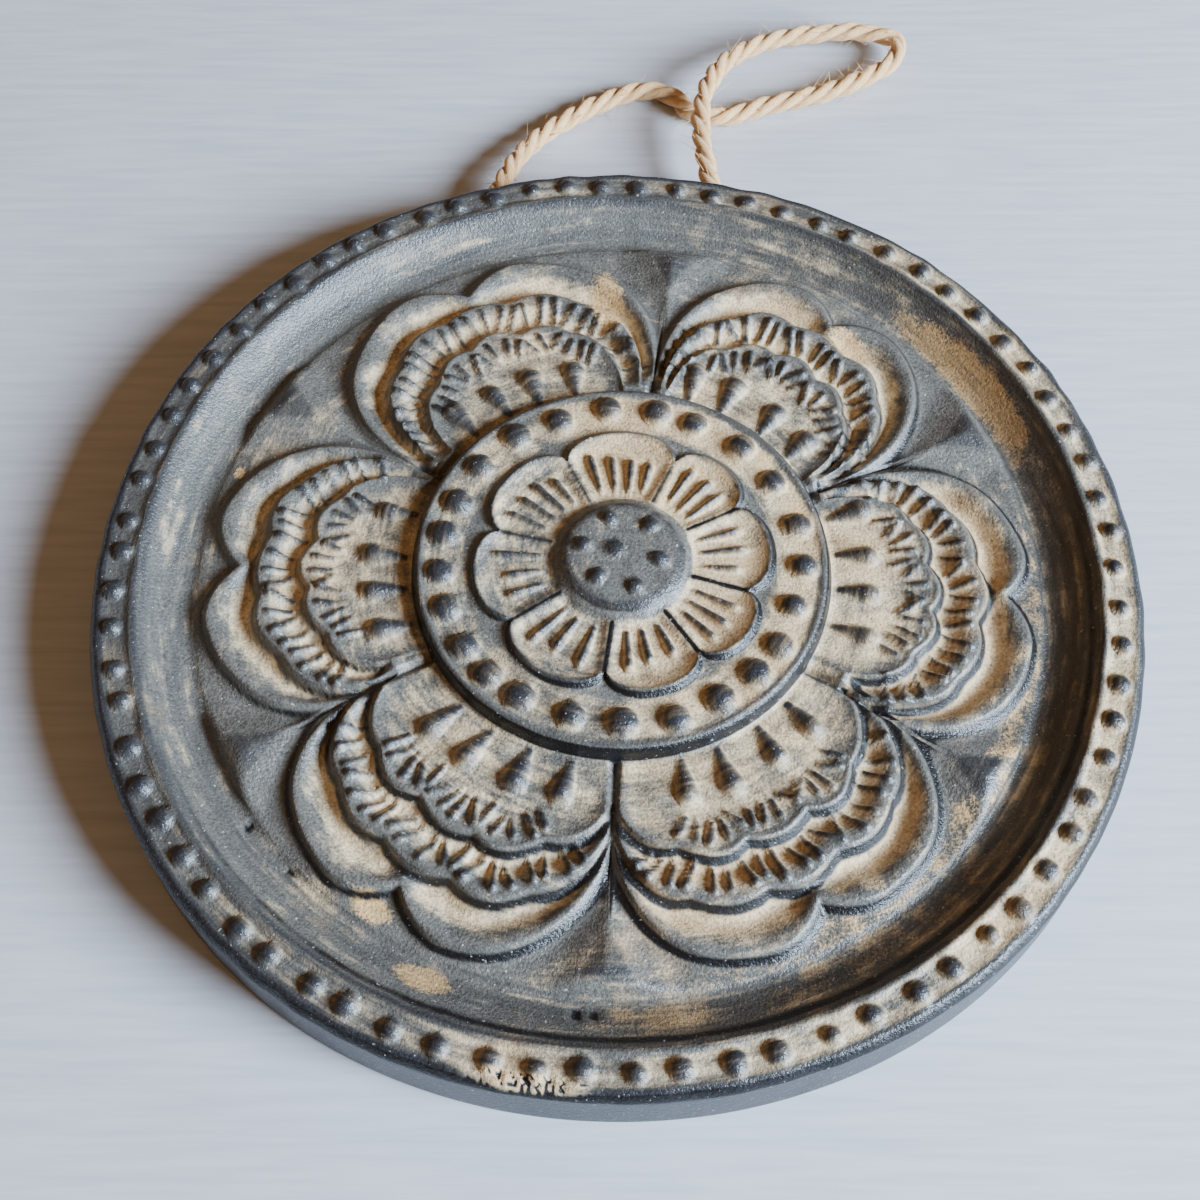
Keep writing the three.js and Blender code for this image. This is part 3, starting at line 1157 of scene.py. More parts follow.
def make_speckle_group() -> bpy.types.NodeTree:
    """Shared effect: small specks of a given grain.

    Returns:
        Node group with inputs Place, Grain, Low and High, and the output Specks.
    """
    tree = bpy.data.node_groups.new("specks", "ShaderNodeTree")
    tree.interface.new_socket("Place", in_out="INPUT", socket_type="NodeSocketVector")
    for name in ("Grain", "Low", "High"):
        tree.interface.new_socket(name, in_out="INPUT", socket_type="NodeSocketFloat")
    tree.interface.new_socket("Specks", in_out="OUTPUT", socket_type="NodeSocketFloat")
    bench = NodeBench(tree)
    given = bench.add("NodeGroupInput")
    result = bench.add("NodeGroupOutput")
    cloud = bench.noise(given.outputs["Place"], given.outputs["Grain"], 2.0, 0.6)
    bench.feed(result.inputs["Specks"], bench.step(cloud, given.outputs["Low"], given.outputs["High"]))
    return tree


def start_material(name: str) -> tuple[bpy.types.Material, NodeBench, bpy.types.Node]:
    """Empty node material.

    Args:
        name: Name of the material.

    Returns:
        The material, a bench for its nodes and its Principled BSDF.
    """
    material = bpy.data.materials.new(name)
    material.use_nodes = True
    material.node_tree.nodes.clear()
    bench = NodeBench(material.node_tree)
    shader = bench.add("ShaderNodeBsdfPrincipled")
    output = bench.add("ShaderNodeOutputMaterial")
    bench.feed(output.inputs["Surface"], shader.outputs["BSDF"])
    return material, bench, shader


@dataclass(frozen=True)
class CastStoneFinish:
    """Warm grey cast stone under a graphite wash: cream and tan dust in hollows, ink and painted shade in
    creases.
    """

    grey: Colour = (0.105, 0.099, 0.087)
    cream: Colour = (0.62, 0.465, 0.275)
    tan: Colour = (0.46, 0.3, 0.15)
    bare_and_shade_tan: Colour = (0.52, 0.33, 0.15)
    graphite: Colour = (0.022, 0.023, 0.027)
    ink_and_shade: Colour = (0.004, 0.004, 0.005)
    fleck: Colour = (0.6, 0.6, 0.58)
    cloud_scale: float = 75.0
    mottle_scale: float = 380.0
    grain_scale: float = 2900.0
    streak_rings: float = 1200.0
    streak_turn: float = 5.0
    pepper_scale: float = 1300.0
    fleck_scale: float = 2100.0
    relief: float = 0.26
    relief_strength: float = 0.7
    sheen: float = 0.2

    def make(self, specks: bpy.types.NodeTree) -> bpy.types.Material:
        """Builds the material.

        Args:
            specks: Shared node group for specks.

        Returns:
            The material, which reads the marks crest, hollow, bare_and_shade and ink_and_shade of the mesh.
        """
        material, bench, shader = start_material("graphite_washed_stone")
        place = bench.object_place()
        cloud = bench.noise(place, self.cloud_scale)
        mottle = bench.noise(place, self.mottle_scale, 4.0, 0.65)
        grain = bench.noise(place, self.grain_scale, 2.0, 0.65)
        streak = bench.noise(self._round_the_middle(bench, place), 1.0, 3.0, 0.6)
        hollow = bench.mark("hollow")
        worn = bench.sum(mottle, 0.5, cloud, 0.35, 0.02)
        worn = bench.sum(worn, 0.9, streak, 0.45, -0.13)
        dust = bench.step(bench.sum(hollow, 0.4, worn, 1.0), 0.52, 0.84)
        colour = bench.blend(dust, self.grey, self.cream)
        tanned = bench.step(bench.sum(hollow, 0.3, cloud, 1.0), 0.6, 0.9)
        colour = bench.tint(tanned, 0.8, colour, self.tan)
        ragged = bench.sum(mottle, 0.9, grain, 0.5)
        # tan where the wash is worn away, plus tan painted as shade at the lower right
        gone = bench.step(bench.sum(bench.mark("bare_and_shade"), 0.8, ragged, 1.0), 1.08, 1.42)
        colour = bench.blend(gone, colour, self.bare_and_shade_tan)
        patchy = bench.sum(ragged, 0.45, streak, -0.5, 0.25)
        # graphite rubbed on the raised relief, plus painted shade: graphite added on the rim's shaded lip
        # and at the lower right
        rubbed_and_shaded = bench.step(bench.sum(bench.mark("crest"), 0.8, patchy, 1.0), 0.46, 1.0)
        colour = bench.blend(rubbed_and_shaded, colour, self.graphite)
        # near-black in the creases, round the beads' feet and in the holes: partly ink of the wash, partly
        # painted shade
        inked_and_shaded = bench.step(bench.sum(bench.mark("ink_and_shade"), 1.0, ragged, 0.7), 0.78, 1.25)
        colour = bench.blend(inked_and_shaded, colour, self.ink_and_shade)
        pepper = bench.group(specks, Place=place, Grain=self.pepper_scale, Low=0.6, High=0.78)
        colour = bench.tint(pepper, 0.55, colour, self.graphite)
        flecks = bench.group(specks, Place=place, Grain=self.fleck_scale, Low=0.66, High=0.76)
        colour = bench.tint(flecks, 0.5, colour, self.fleck)
        gritty = bench.sum(grain, 2.0, mottle, 1.2, -0.55)
        bench.feed(shader.inputs["Base Color"], bench.blend(1.0, colour, gritty, "MULTIPLY"))
        shine = bench.math("MAXIMUM", rubbed_and_shaded, bench.math("SUBTRACT", 1.0, dust))
        bench.feed(shader.inputs["Roughness"], bench.sum(shine, -0.24, grain, 0.3, 0.47))
        bench.feed(shader.inputs["Metallic"], bench.math("MULTIPLY", rubbed_and_shaded, self.sheen))
        bench.emboss(shader, bench.sum(mottle, 0.4, grain, 0.7), self.relief_strength, self.relief)
        return material

    def _round_the_middle(self, bench: NodeBench, place: bpy.types.NodeSocket) -> bpy.types.NodeSocket:
        """Coordinates that run round the plaque, so that a noise on them is drawn out in circles.

        Args:
            bench: Bench of the material.
            place: Object coordinates.

        Returns:
            Coordinates with the distance from the middle added to the third.
        """
        flat = bench.stretch(place, (1.0, 1.0, 0.0))
        away = bench.add("ShaderNodeVectorMath", operation="LENGTH")
        bench.feed(away.inputs[0], flat)
        heading = bench.add("ShaderNodeVectorMath", operation="NORMALIZE")
        bench.feed(heading.inputs[0], flat)
        ring = bench.add("ShaderNodeCombineXYZ")
        bench.feed(ring.inputs["Z"], bench.math("MULTIPLY", away.outputs["Value"], self.streak_rings))
        turn = bench.add("ShaderNodeVectorMath", operation="MULTIPLY_ADD")
        bench.feed(turn.inputs[0], heading.outputs["Vector"])
        bench.feed(turn.inputs[1], (self.streak_turn,) * 3)
        bench.feed(turn.inputs[2], ring.outputs["Vector"])
        return turn.outputs["Vector"]


@dataclass(frozen=True)
class JuteFinish:
    """Natural golden jute with its fibres along the strands."""

    straw: Colour = (0.7, 0.36, 0.12)
    pale: Colour = (0.95, 0.62, 0.31)
    knot_and_shade_brown: Colour = (0.24, 0.13, 0.055)
    fibres: Place = (0.8, 40.0, 1.0)
    knot_scale: float = 1100.0
    knot_and_shade_strength: float = 0.6
    relief: float = 0.25
    relief_strength: float = 0.8

    def make(self, specks: bpy.types.NodeTree) -> bpy.types.Material:
        """Builds the material.

        Args:
            specks: Shared node group for specks.

        Returns:
            The material, which reads the strands' own coordinates and the mark groove_and_shade.
        """
        material, bench, shader = start_material("golden_jute")
        lay = bench.add("ShaderNodeUVMap", uv_map="strands").outputs["UV"]
        fibre = bench.noise(bench.stretch(lay, self.fibres), 1.0, 4.0, 0.75)
        colour = bench.blend(bench.step(fibre, 0.4, 0.62), self.straw, self.pale)
        knots = bench.group(specks, Place=bench.object_place(), Grain=self.knot_scale, Low=0.64, High=0.78)
        # the grooves between the strands are browned as painted shade; the knots are real brown specks
        for dark in (bench.mark("groove_and_shade"), knots):
            colour = bench.tint(dark, self.knot_and_shade_strength, colour, self.knot_and_shade_brown)
        bench.feed(shader.inputs["Base Color"], colour)
        shader.inputs["Roughness"].default_value = 0.85
        shader.inputs["Sheen Weight"].default_value = 0.25
        bench.emboss(shader, fibre, self.relief_strength, self.relief)
        return material


@dataclass(frozen=True)
class TableFinish:
    """Pale painted table top with faint brush streaks."""

    paint: Colour = (0.56, 0.57, 0.6)
    shade: Colour = (0.47, 0.48, 0.51)
    streaks: Place = (60.0, 900.0, 1.0)
    dirt_scale: float = 240.0
    dirt_strength: float = 0.25

    def make(self, specks: bpy.types.NodeTree) -> bpy.types.Material:
        """Builds the material.

        Args:
            specks: Shared node group for specks.

        Returns:
            The material.
        """
        material, bench, shader = start_material("pale_paint")
        place = bench.object_place()
        streak = bench.noise(bench.stretch(place, self.streaks), 1.0, 3.0, 0.6)
        colour = bench.blend(bench.step(streak, 0.3, 0.75), self.paint, self.shade)
        dirt = bench.group(specks, Place=place, Grain=self.dirt_scale, Low=0.72, High=0.8)
        bench.feed(shader.inputs["Base Color"], bench.tint(dirt, self.dirt_strength, colour, self.shade))
        shader.inputs["Roughness"].default_value = 0.6
        return material


def make_object(shape: bmesh.types.BMesh, name: str, finish: bpy.types.Material) -> bpy.types.Object:
    """Turns a finished shape into an object of the scene.

    Args:
        shape: The shape, which is freed.
        name: Name of the object and its mesh.
        finish: Its material.

    Returns:
        The object, at the origin.
    """
    mesh = bpy.data.meshes.new(name)
    shape.to_mesh(mesh)
    shape.free()
    mesh.shade_smooth()
    mesh.materials.append(finish)
    piece = bpy.data.objects.new(name, mesh)
    bpy.context.scene.collection.objects.link(piece)
    return piece


@dataclass(frozen=True)
class PittedEdge:
    """The worn, pitted place on the near edge of the rim."""

    degrees: float = 261.0
    half: float = 7.0
    radius: float = 59.6
    width: float = 1.1
    fullness: float = 1.3
    share: float = 0.3
    depth: float = 0.3
    dust: float = 0.8
    graphite_gone: float = 0.7
    ink_gone: float = 0.9
    hole_shade: float = 0.95

    def lay(self, face: Face, draw: np.random.Generator) -> None:
        """Wears the edge to pale stone and riddles it with small holes, darkened as painted shade.

        Args:
            face: Points of the rim.
            draw: Seeded draw for the holes.
        """
        along = ((face.degrees - self.degrees) / self.half) ** 2
        worn = held(self.fullness - along - ((face.radius - self.radius) / self.width) ** 2)
        holes = worn * (draw.random(face.radius.shape) < self.share)
        face.hollow[:] = np.maximum(face.hollow, self.dust * worn)
        face.crest *= 1.0 - self.graphite_gone * worn
        face.ink_and_shade *= 1.0 - self.ink_gone * worn
        # the holes are darkened: painted shade
        face.ink_and_shade += self.hole_shade * holes
        face.height -= self.depth * holes


@dataclass
class CarvedPlaque:
    """The casting: one closed skin, rolled in rings and carved by moving its points."""

    petals: OuterPetals = field(default_factory=OuterPetals)
    medallion: Medallion = field(default_factory=Medallion)
    rim: BeadedRim = field(default_factory=BeadedRim)
    pitted_edge: PittedEdge = PittedEdge()
    rim_radius: float = 60.0
    shift: Range = (0.6, 0.2)
    out_of_round: float = 0.3
    back_height: float = 4.0
    lower_right_shade_side: Wear = Wear(322.0, 0.0, 1.0)
    lower_right_shade_ring: Profile = Profile((43.0, 47.5, 53.6, 54.8), (0.0, 1.0, 1.0, 0.0))
    lower_right_shade_tan: float = 0.66
    lower_right_shade_graphite: float = 0.1
    edge_rows: Profile = Profile((0.0, 0.65, 0.7, 0.75, 1.0), (61.3, 68.2, 68.5, 69.2, 129.7))
    crowding: float = 2.2
    crowd_width: float = 0.8
    row_samples: int = 500
    row_slack: float = 0.02
    broad_waves: Unevenness = field(default_factory=lambda: Unevenness(5, 24.0))
    small_waves: Unevenness = field(default_factory=lambda: Unevenness(6, 5.0))
    broad_height: float = 0.1
    small_height: float = 0.05
    rim_waver: float = 0.08
    edge_waver: float = 0.06
    edge_top: float = 7.6
    seed: int = 61
    zones: tuple[Zone, ...] = (
        Zone(ZoneKind.BOSS, 0.0, 7.7, 15, 216),
        Zone(ZoneKind.MEDALLION, 7.9, 24.4, 40, 432),
        Zone(ZoneKind.PETALS, 24.6, 49.3, 52, 840),
        Zone(ZoneKind.COVE, 49.6, 54.6, 8, 555),
        Zone(ZoneKind.RIM, 54.85, 61.0, 17, 1110),
        Zone(ZoneKind.EDGE, 61.3, 129.7, 20, 370),
    )
    bare_patches: tuple[BarePatch, ...] = (
        BarePatch(31.5, 52.3, 13.0, 2.2),
        BarePatch(247.0, 51.9, 3.4, 1.4),
        BarePatch(237.0, 47.9, 2.6, 1.4),
        BarePatch(48.5, 43.8, 3.6, 2.0),
        BarePatch(92.0, 39.6, 2.4, 5.6),
        BarePatch(163.0, 48.2, 1.0, 0.7),
        BarePatch(252.0, 60.0, 2.0, 0.5),
        BarePatch(30.0, 21.5, 9.0, 2.0, 0.62),
        BarePatch(85.0, 15.2, 5.0, 2.2, 0.55),
        BarePatch(45.0, 14.5, 4.5, 2.6, 0.62),
        BarePatch(5.0, 14.5, 5.0, 2.6, 0.55),
        BarePatch(325.0, 14.8, 4.0, 2.4, 0.5),
        BarePatch(302.0, 51.8, 20.0, 2.4, 0.55),
        BarePatch(274.0, 52.2, 9.0, 1.9, 0.6),
        BarePatch(345.0, 38.5, 6.0, 5.0, 0.35),
        BarePatch(298.0, 43.0, 10.0, 5.0, 0.4),
    )
    pits: tuple[Pit, ...] = (
        Pit(265.0, 51.9, 0.8, 0.5),
        Pit(267.0, 51.8, 0.7, 0.4),
        Pit(218.0, 50.6, 0.7, 0.45),
        Pit(226.0, 50.4, 0.6, 0.4),
    )

    def build(self, finish: bpy.types.Material) -> bpy.types.Object:
        """Builds and dresses the casting.

        Args:
            finish: Its material.

        Returns:
            The finished piece.
        """
        skin = bmesh.new()
        for zone in self.zones:
            self._roll(skin, zone)
        bmesh.ops.remove_doubles(skin, verts=skin.verts[:], dist=0.001)
        for inner, outer in zip(self.zones, self.zones[1:]):
            self._join(skin, inner.outer, outer.inner)
        points, marks = self._carve(skin)
        for vertex, point in zip(skin.verts, points):
            vertex.co = point
        layers = {name: skin.verts.layers.float.new(name) for name in marks}
        for name, values in marks.items():
            for vertex, value in zip(skin.verts, values):
                vertex[layers[name]] = value
        bmesh.ops.remove_doubles(skin, verts=skin.verts[:], dist=0.002 * MM)
        bmesh.ops.recalc_face_normals(skin, faces=skin.faces[:])
        open_edges = sum(1 for edge in skin.edges if not edge.is_manifold)
        piece = make_object(skin, "carved_plaque", finish)
        triangles = sum(len(face.vertices) - 2 for face in piece.data.polygons)
        LOG.info("carved_plaque: %d triangles, %d open edges", triangles, open_edges)
        return piece

    def _roll(self, skin: bmesh.types.BMesh, zone: Zone) -> None:
        """Rolls a grid into one ring of the skin, laid out flat.

        Args:
            skin: The skin so far.
            zone: The ring.
        """
        grid = bmesh.ops.create_grid(skin, x_segments=zone.rows, y_segments=zone.columns, size=1.0)
        for vertex in grid["verts"]:
            reach = zone.inner + (zone.outer - zone.inner) * (vertex.co.x + 1.0) / 2.0
            turn = math.pi * (vertex.co.y + 1.0)
            vertex.co = (reach * math.cos(turn), reach * math.sin(turn), 0.0)

    def _join(self, skin: bmesh.types.BMesh, inner: float, outer: float) -> None:
        """Closes the gap between two rings of the flat skin.

        Args:
            skin: The skin, still flat.
            inner: Distance of the inner ring's last row.
            outer: Distance of the outer ring's first row.
        """
        loops = [
            edge
            for edge in skin.edges
            if edge.is_boundary
            and any(self._lies_on(edge, reach) for reach in (inner, outer))
        ]
        bmesh.ops.bridge_loops(skin, edges=loops)

    def _lies_on(self, edge: bmesh.types.BMEdge, reach: float) -> bool:
        """Whether both ends of an edge of the flat skin lie on a circle."""
        return all(abs(end.co.length - reach) < self.row_slack / 2.0 for end in edge.verts)

    def _row_radii(self, zone: Zone) -> np.ndarray:
        """Radius of every row at every column, with the rows drawn to the outlines.

        Args:
            zone: A ring of the carved face.

        Returns:
            Radii by column and row.
        """
        degrees = zone.column_degrees()
        lines = []
        if zone.kind is ZoneKind.PETALS:
            lines = [self.petals.radius(outline, degrees) for outline in Outline]
        elif zone.kind is ZoneKind.MEDALLION:
            lines = [self.medallion.outline(degrees), np.full_like(degrees, self.medallion.wall_foot)]
        samples = np.linspace(zone.inner, zone.outer, self.row_samples)
        crowd = np.ones((zone.columns, len(samples)))
        for line in lines:
            crowd += self.crowding * line_at(samples[None, :], line[:, None], self.crowd_width)
        total = np.cumsum(crowd, axis=1)
        total = (total - total[:, :1]) / (total[:, -1:] - total[:, :1])
        rows = np.linspace(0.0, 1.0, zone.rows + 1)
        return np.array([np.interp(rows, column, samples) for column in total])

    def _carve(self, skin: bmesh.types.BMesh) -> tuple[np.ndarray, dict[str, np.ndarray]]:
        """Works out where every point of the flat skin goes.

        Args:
            skin: The skin, still flat.

        Returns:
            Places in metres, and the marks that the finish reads.
        """
        flat = np.array([vertex.co[:2] for vertex in skin.verts], float)
        walked = np.hypot(flat[:, 0], flat[:, 1])
        degrees = np.degrees(np.arctan2(flat[:, 1], flat[:, 0])) % FULL_TURN
        points = np.zeros((len(flat), 3))
        marks = {name: np.zeros(len(flat)) for name in ("crest", "hollow", "bare_and_shade", "ink_and_shade")}
        work = np.random.default_rng(self.seed)
        for zone in self.zones:
            inside = (walked > zone.inner - self.row_slack) & (walked < zone.outer + self.row_slack)
            mine = np.nonzero(inside)[0]
            face = self._carve_zone(zone, walked[mine], degrees[mine], work)
            points[mine] = self._place(face)
            for name, values in marks.items():
                values[mine] = held(getattr(face, name))
        return points * MM, marks

    def _carve_zone(
        self, zone: Zone, walked: np.ndarray, degrees: np.ndarray, work: np.random.Generator
    ) -> Face:
        """Carves one ring of the skin.

        Args:
            zone: The ring.
            walked: Distances of its points along the section.
            degrees: Angles of its points.
            work: Seeded draw for hand work.

        Returns:
            The carved points.
        """
        carved = zone.kind in (ZoneKind.BOSS, ZoneKind.MEDALLION, ZoneKind.PETALS)
        if carved:
            columns = np.rint(degrees / FULL_TURN * zone.columns).astype(int) % zone.columns
            rows = np.rint(zone.share(walked) * zone.rows).astype(int)
            face = Face(self._row_radii(zone)[columns, rows], degrees)
        else:
            if zone.kind is ZoneKind.EDGE:
                walked = self.edge_rows.at(zone.share(walked))
            radius, height = self.rim.follow(walked)
            face = Face(radius, degrees)
            face.height[:] = height
        if zone.kind is ZoneKind.PETALS:
            self.petals.lay(face, work)
        elif carved:
            self.medallion.lay(face, np.random.default_rng(self.seed + 1))
        elif zone.kind in (ZoneKind.RIM, ZoneKind.COVE):
            self.rim.lay(face, np.random.default_rng(self.seed + 2))
        if zone.kind is not ZoneKind.EDGE:
            self._paint_lower_right_shade(face)
            for patch in self.bare_patches:
                patch.lay(face)
            for pit in self.pits:
                pit.sink(face)
        if zone.kind is ZoneKind.RIM:
            self.pitted_edge.lay(face, np.random.default_rng(self.seed + 3))
        self._roughen(face, zone)
        return face

    def _paint_lower_right_shade(self, face: Face) -> None:
        """Paints the ground and the cove at the lower right browner and a little darker: painted shade.

        Args:
            face: Points of one ring.
        """
        share = held(self.lower_right_shade_side.at(face.degrees)) * self.lower_right_shade_ring.at(face.radius)
        # painted shade: tan and a little graphite on the ground and the cove at the lower right
        face.bare_and_shade[:] = np.maximum(face.bare_and_shade, self.lower_right_shade_tan * share * (1.0 - held(face.crest)))
        face.crest += self.lower_right_shade_graphite * share

    def _roughen(self, face: Face, zone: Zone) -> None:
        """Adds the waviness of a hand-finished casting.

        Args:
            face: Points of one ring.
            zone: The ring.
        """
        broad = self.broad_waves.at(face.x, face.y)
        small = self.small_waves.at(face.x, face.y)
        if zone.kind is ZoneKind.EDGE:
            face.crest[:] = 1.0
            share = held(face.height / self.back_height)
            face.height += self.broad_height * broad * held(face.height / self.edge_top)
            face.radius = face.radius + self.edge_waver * (broad + small) * share
            return
        face.height += self.broad_height * broad + self.small_height * small
        if zone.kind is ZoneKind.RIM:
            face.radius = face.radius + self.rim_waver * small

    def _place(self, face: Face) -> np.ndarray:
        """Places of a ring's points: the carving sits a little off centre on a rim a little out of round.

        Args:
            face: Points of one ring.

        Returns:
            Places in millimetres.
        """
        turn = np.radians(face.degrees)
        share = (face.radius / self.rim_radius) ** 2
        reach = face.radius - self.out_of_round * share * np.cos(4.0 * turn)
        shift = np.maximum(0.0, 1.0 - share) * (face.height > self.back_height)
        x = reach * np.cos(turn) + self.shift[0] * shift
        y = reach * np.sin(turn) + self.shift[1] * shift
        return np.column_stack([x, y, face.height])


@dataclass(frozen=True)
class Route:
    """Middle of the twine, with the directions ahead, aside and up at every point."""

    line: np.ndarray
    ahead: np.ndarray
    aside: np.ndarray
    up: np.ndarray

    @classmethod
    def along(cls, line: np.ndarray) -> "Route":
        """Route along a line of points.

        Args:
            line: Points in millimetres.

        Returns:
            The route with its directions.
        """
        ahead = np.gradient(line, axis=0)
        ahead /= np.linalg.norm(ahead, axis=1)[:, None]
        aside = np.cross(ahead, (0.0, 0.0, 1.0))
        aside /= np.linalg.norm(aside, axis=1)[:, None]
        return cls(line, ahead, aside, np.cross(aside, ahead))

    def length(self) -> float:
        """Length of the route in millimetres."""
        return float(np.linalg.norm(np.diff(self.line, axis=0), axis=1).sum())

    def out(self, index: int, turn: float) -> np.ndarray:
        """Direction square to the route at a point, turned round it by an angle in radians."""
        return math.cos(turn) * self.aside[index] + math.sin(turn) * self.up[index]


@dataclass(frozen=True)
class HairSize:
    """Sizes of the loose hairs of the twine."""

    count: int = 380
    clear: int = 20
    slants: Range = (0.6, 2.4)
    slant_reach: float = 1.4
    bend: float = 0.8
    root: float = 1.05
    reaches: Range = (0.5, 1.9)
    thicknesses: Range = (0.035, 0.065)
    taper: float = 0.7
    lowest: float = 0.1


@dataclass
class TwineLoop:
    """The jute twine: three twisted strands with loose hairs, from one socket round to the other."""

    diameter: float = 2.8
    strands: int = 3
    sides: int = 10
    twist: float = 10.5
    fullness: float = 0.4
    core: float = 0.46
    slack: float = 0.08
    slack_length: float = 6.0
    strand_gap: float = 9.0
    groove_power: int = 4
    spacing: float = 0.3
    path_step: int = 6
    span_points: int = 24
    seated: float = 4.0
    seed: int = 17
    hair: HairSize = HairSize()
    left_exit: Place = (-16.9, 58.5, 4.4)
    right_exit: Place = (13.9, 59.3, 4.4)
    left_way: Place = (0.3, 0.95, 0.0)
    right_way: Place = (-0.18, 0.98, 0.0)
    free_route: tuple[Place, ...] = (
        (-15.4, 63.2, 4.3),
        (-13.5, 68.4, 3.5),
        (-10.6, 73.2, 2.6),
        (-6.4, 77.6, 1.9),
        (-1.0, 81.4, 1.6),
        (4.4, 83.6, 1.5),
        (8.2, 82.6, 1.5),
        (11.2, 79.4, 1.5),
        (15.2, 78.2, 1.5),
        (22.0, 80.4, 1.6),
        (30.4, 82.6, 1.9),
        (37.2, 85.6, 2.3),
        (41.4, 89.0, 2.6),
        (41.8, 92.4, 2.8),
        (37.6, 94.0, 3.0),
        (29.4, 93.2, 3.4),
        (21.6, 90.6, 3.9),
        (16.0, 85.8, 4.5),
        (13.0, 79.6, 4.8),
        (12.2, 72.8, 4.7),
        (13.0, 64.2, 4.5),
    )

    def route(self) -> Route:
        """Smooth route of the twine's middle.

        Returns:
            The route, with points about one spacing apart.
        """
        left = Vector(self.left_exit)
        right = Vector(self.right_exit)
        first = left - self.seated * Vector(self.left_way).normalized()
        last = right - self.seated * Vector(self.right_way).normalized()
        knots = np.array([first, left, *(Vector(place) for place in self.free_route), right, last], float)
        knots = np.vstack([2.0 * knots[0] - knots[1], knots, 2.0 * knots[-1] - knots[-2]])
        times = np.append(0.0, np.cumsum(np.linalg.norm(np.diff(knots, axis=0), axis=1) ** 0.5))
        spans = [self._span(knots[k : k + 4], times[k : k + 4]) for k in range(len(knots) - 3)]
        line = np.vstack([*spans, knots[-2:-1]])
        walked = np.append(0.0, np.cumsum(np.linalg.norm(np.diff(line, axis=0), axis=1)))
        even = np.linspace(0.0, walked[-1], int(walked[-1] / self.spacing))
        return Route.along(np.column_stack([np.interp(even, walked, line[:, axis]) for axis in range(3)]))

    def _span(self, knots: np.ndarray, times: np.ndarray) -> np.ndarray:
        """Points of the smooth curve between the two middle knots of four.

        Args:
            knots: Four knots of the route.
            times: Time at each knot.

        Returns:
            Points from the second knot up to the third.
        """
        now = np.linspace(times[1], times[2], self.span_points, endpoint=False)[:, None]

        def between(start: np.ndarray, end: np.ndarray, early: float, late: float) -> np.ndarray:
            """Straight mix of two places by time."""
            return ((late - now) * start + (now - early) * end) / (late - early)

        one, two, three = (between(knots[k], knots[k + 1], times[k], times[k + 1]) for k in range(3))
        four = between(one, two, times[0], times[2])
        five = between(two, three, times[1], times[3])
        return between(four, five, times[1], times[2])

    def build(self, finish: bpy.types.Material) -> bpy.types.Object:
        """Args:
            finish: Its material.

        Returns:
            The finished piece.
        """
        route = self.route()
        rope = bmesh.new()
        coordinates = rope.loops.layers.uv.new("strands")
        groove_and_shade = rope.verts.layers.float.new("groove_and_shade")
        self._twist_strands(rope, coordinates, groove_and_shade, route)
        self._add_hairs(rope, route)
        bmesh.ops.remove_doubles(rope, verts=rope.verts[:], dist=0.001 * MM)
        bmesh.ops.holes_fill(rope, edges=[edge for edge in rope.edges if edge.is_boundary], sides=0)
        bmesh.ops.recalc_face_normals(rope, faces=rope.faces[:])
        piece = make_object(rope, "jute_twine", finish)
        length = route.length()
        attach(piece, "root")
        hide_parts("twine")
        LOG.info("jute_twine: %.1f mm long, %d faces", length, len(piece.data.polygons))
        return piece

    def _twist_strands(
        self,
        rope: bmesh.types.BMesh,
        coordinates: bmesh.types.BMLayerItem,
        groove_and_shade: bmesh.types.BMLayerItem,
        route: Route,
    ) -> None:
        """Bends a grid round the route, with a section of three touching strands that turns as it goes.

        Args:
            rope: The mesh that the strands go in.
            coordinates: Layer for the strands' own coordinates.
            groove_and_shade: Layer that marks the grooves between the strands, which the finish browns as
                painted shade.
            route: Route of the middle.
        """
        steps = len(route.line) - 1
        grid = bmesh.ops.create_grid(rope, x_segments=steps, y_segments=self.sides * self.strands, size=1.0)
        length = self.spacing * steps
        for face in {face for vertex in grid["verts"] for face in vertex.link_faces}:
            for loop in face.loops:
                loop[coordinates].uv = ((loop.vert.co.x + 1.0) / 2.0 * length, (loop.vert.co.y + 1.0) / 2.0)
        offset = 1.0 / math.sin(math.pi / self.strands)
        strand = self.diameter / 2.0 / (1.0 + offset)
        middle = strand * offset
        walked = self.spacing * np.arange(steps + 1)
        walked, number = np.meshgrid(walked, self.strand_gap * np.arange(self.strands), indexing="ij")
        slack = 1.0 + self.slack * Unevenness(self.seed, self.slack_length).at(walked, number)
        for vertex in grid["verts"]:
            index = int(round((vertex.co.x + 1.0) / 2.0 * steps))
            around = (vertex.co.y + 1.0) / 2.0 * self.strands
            lean = (around % 1.0 - 0.5) * 2.0 * math.pi / self.strands
            reach = middle * math.cos(lean)
            reach += math.sqrt(max(0.0, strand**2 - (middle * math.sin(lean)) ** 2))
            reach += self.fullness * (self.core * self.diameter - reach)
            reach *= slack[index, int(around) % self.strands]
            turn = 2.0 * math.pi * (self.spacing * index / self.twist + around / self.strands)
            vertex.co = Vector(route.line[index] + reach * route.out(index, turn)) * MM
            # marks the grooves between the strands for painted shade
            vertex[groove_and_shade] = min(1.0, (abs(lean) * self.strands / math.pi) ** self.groove_power)

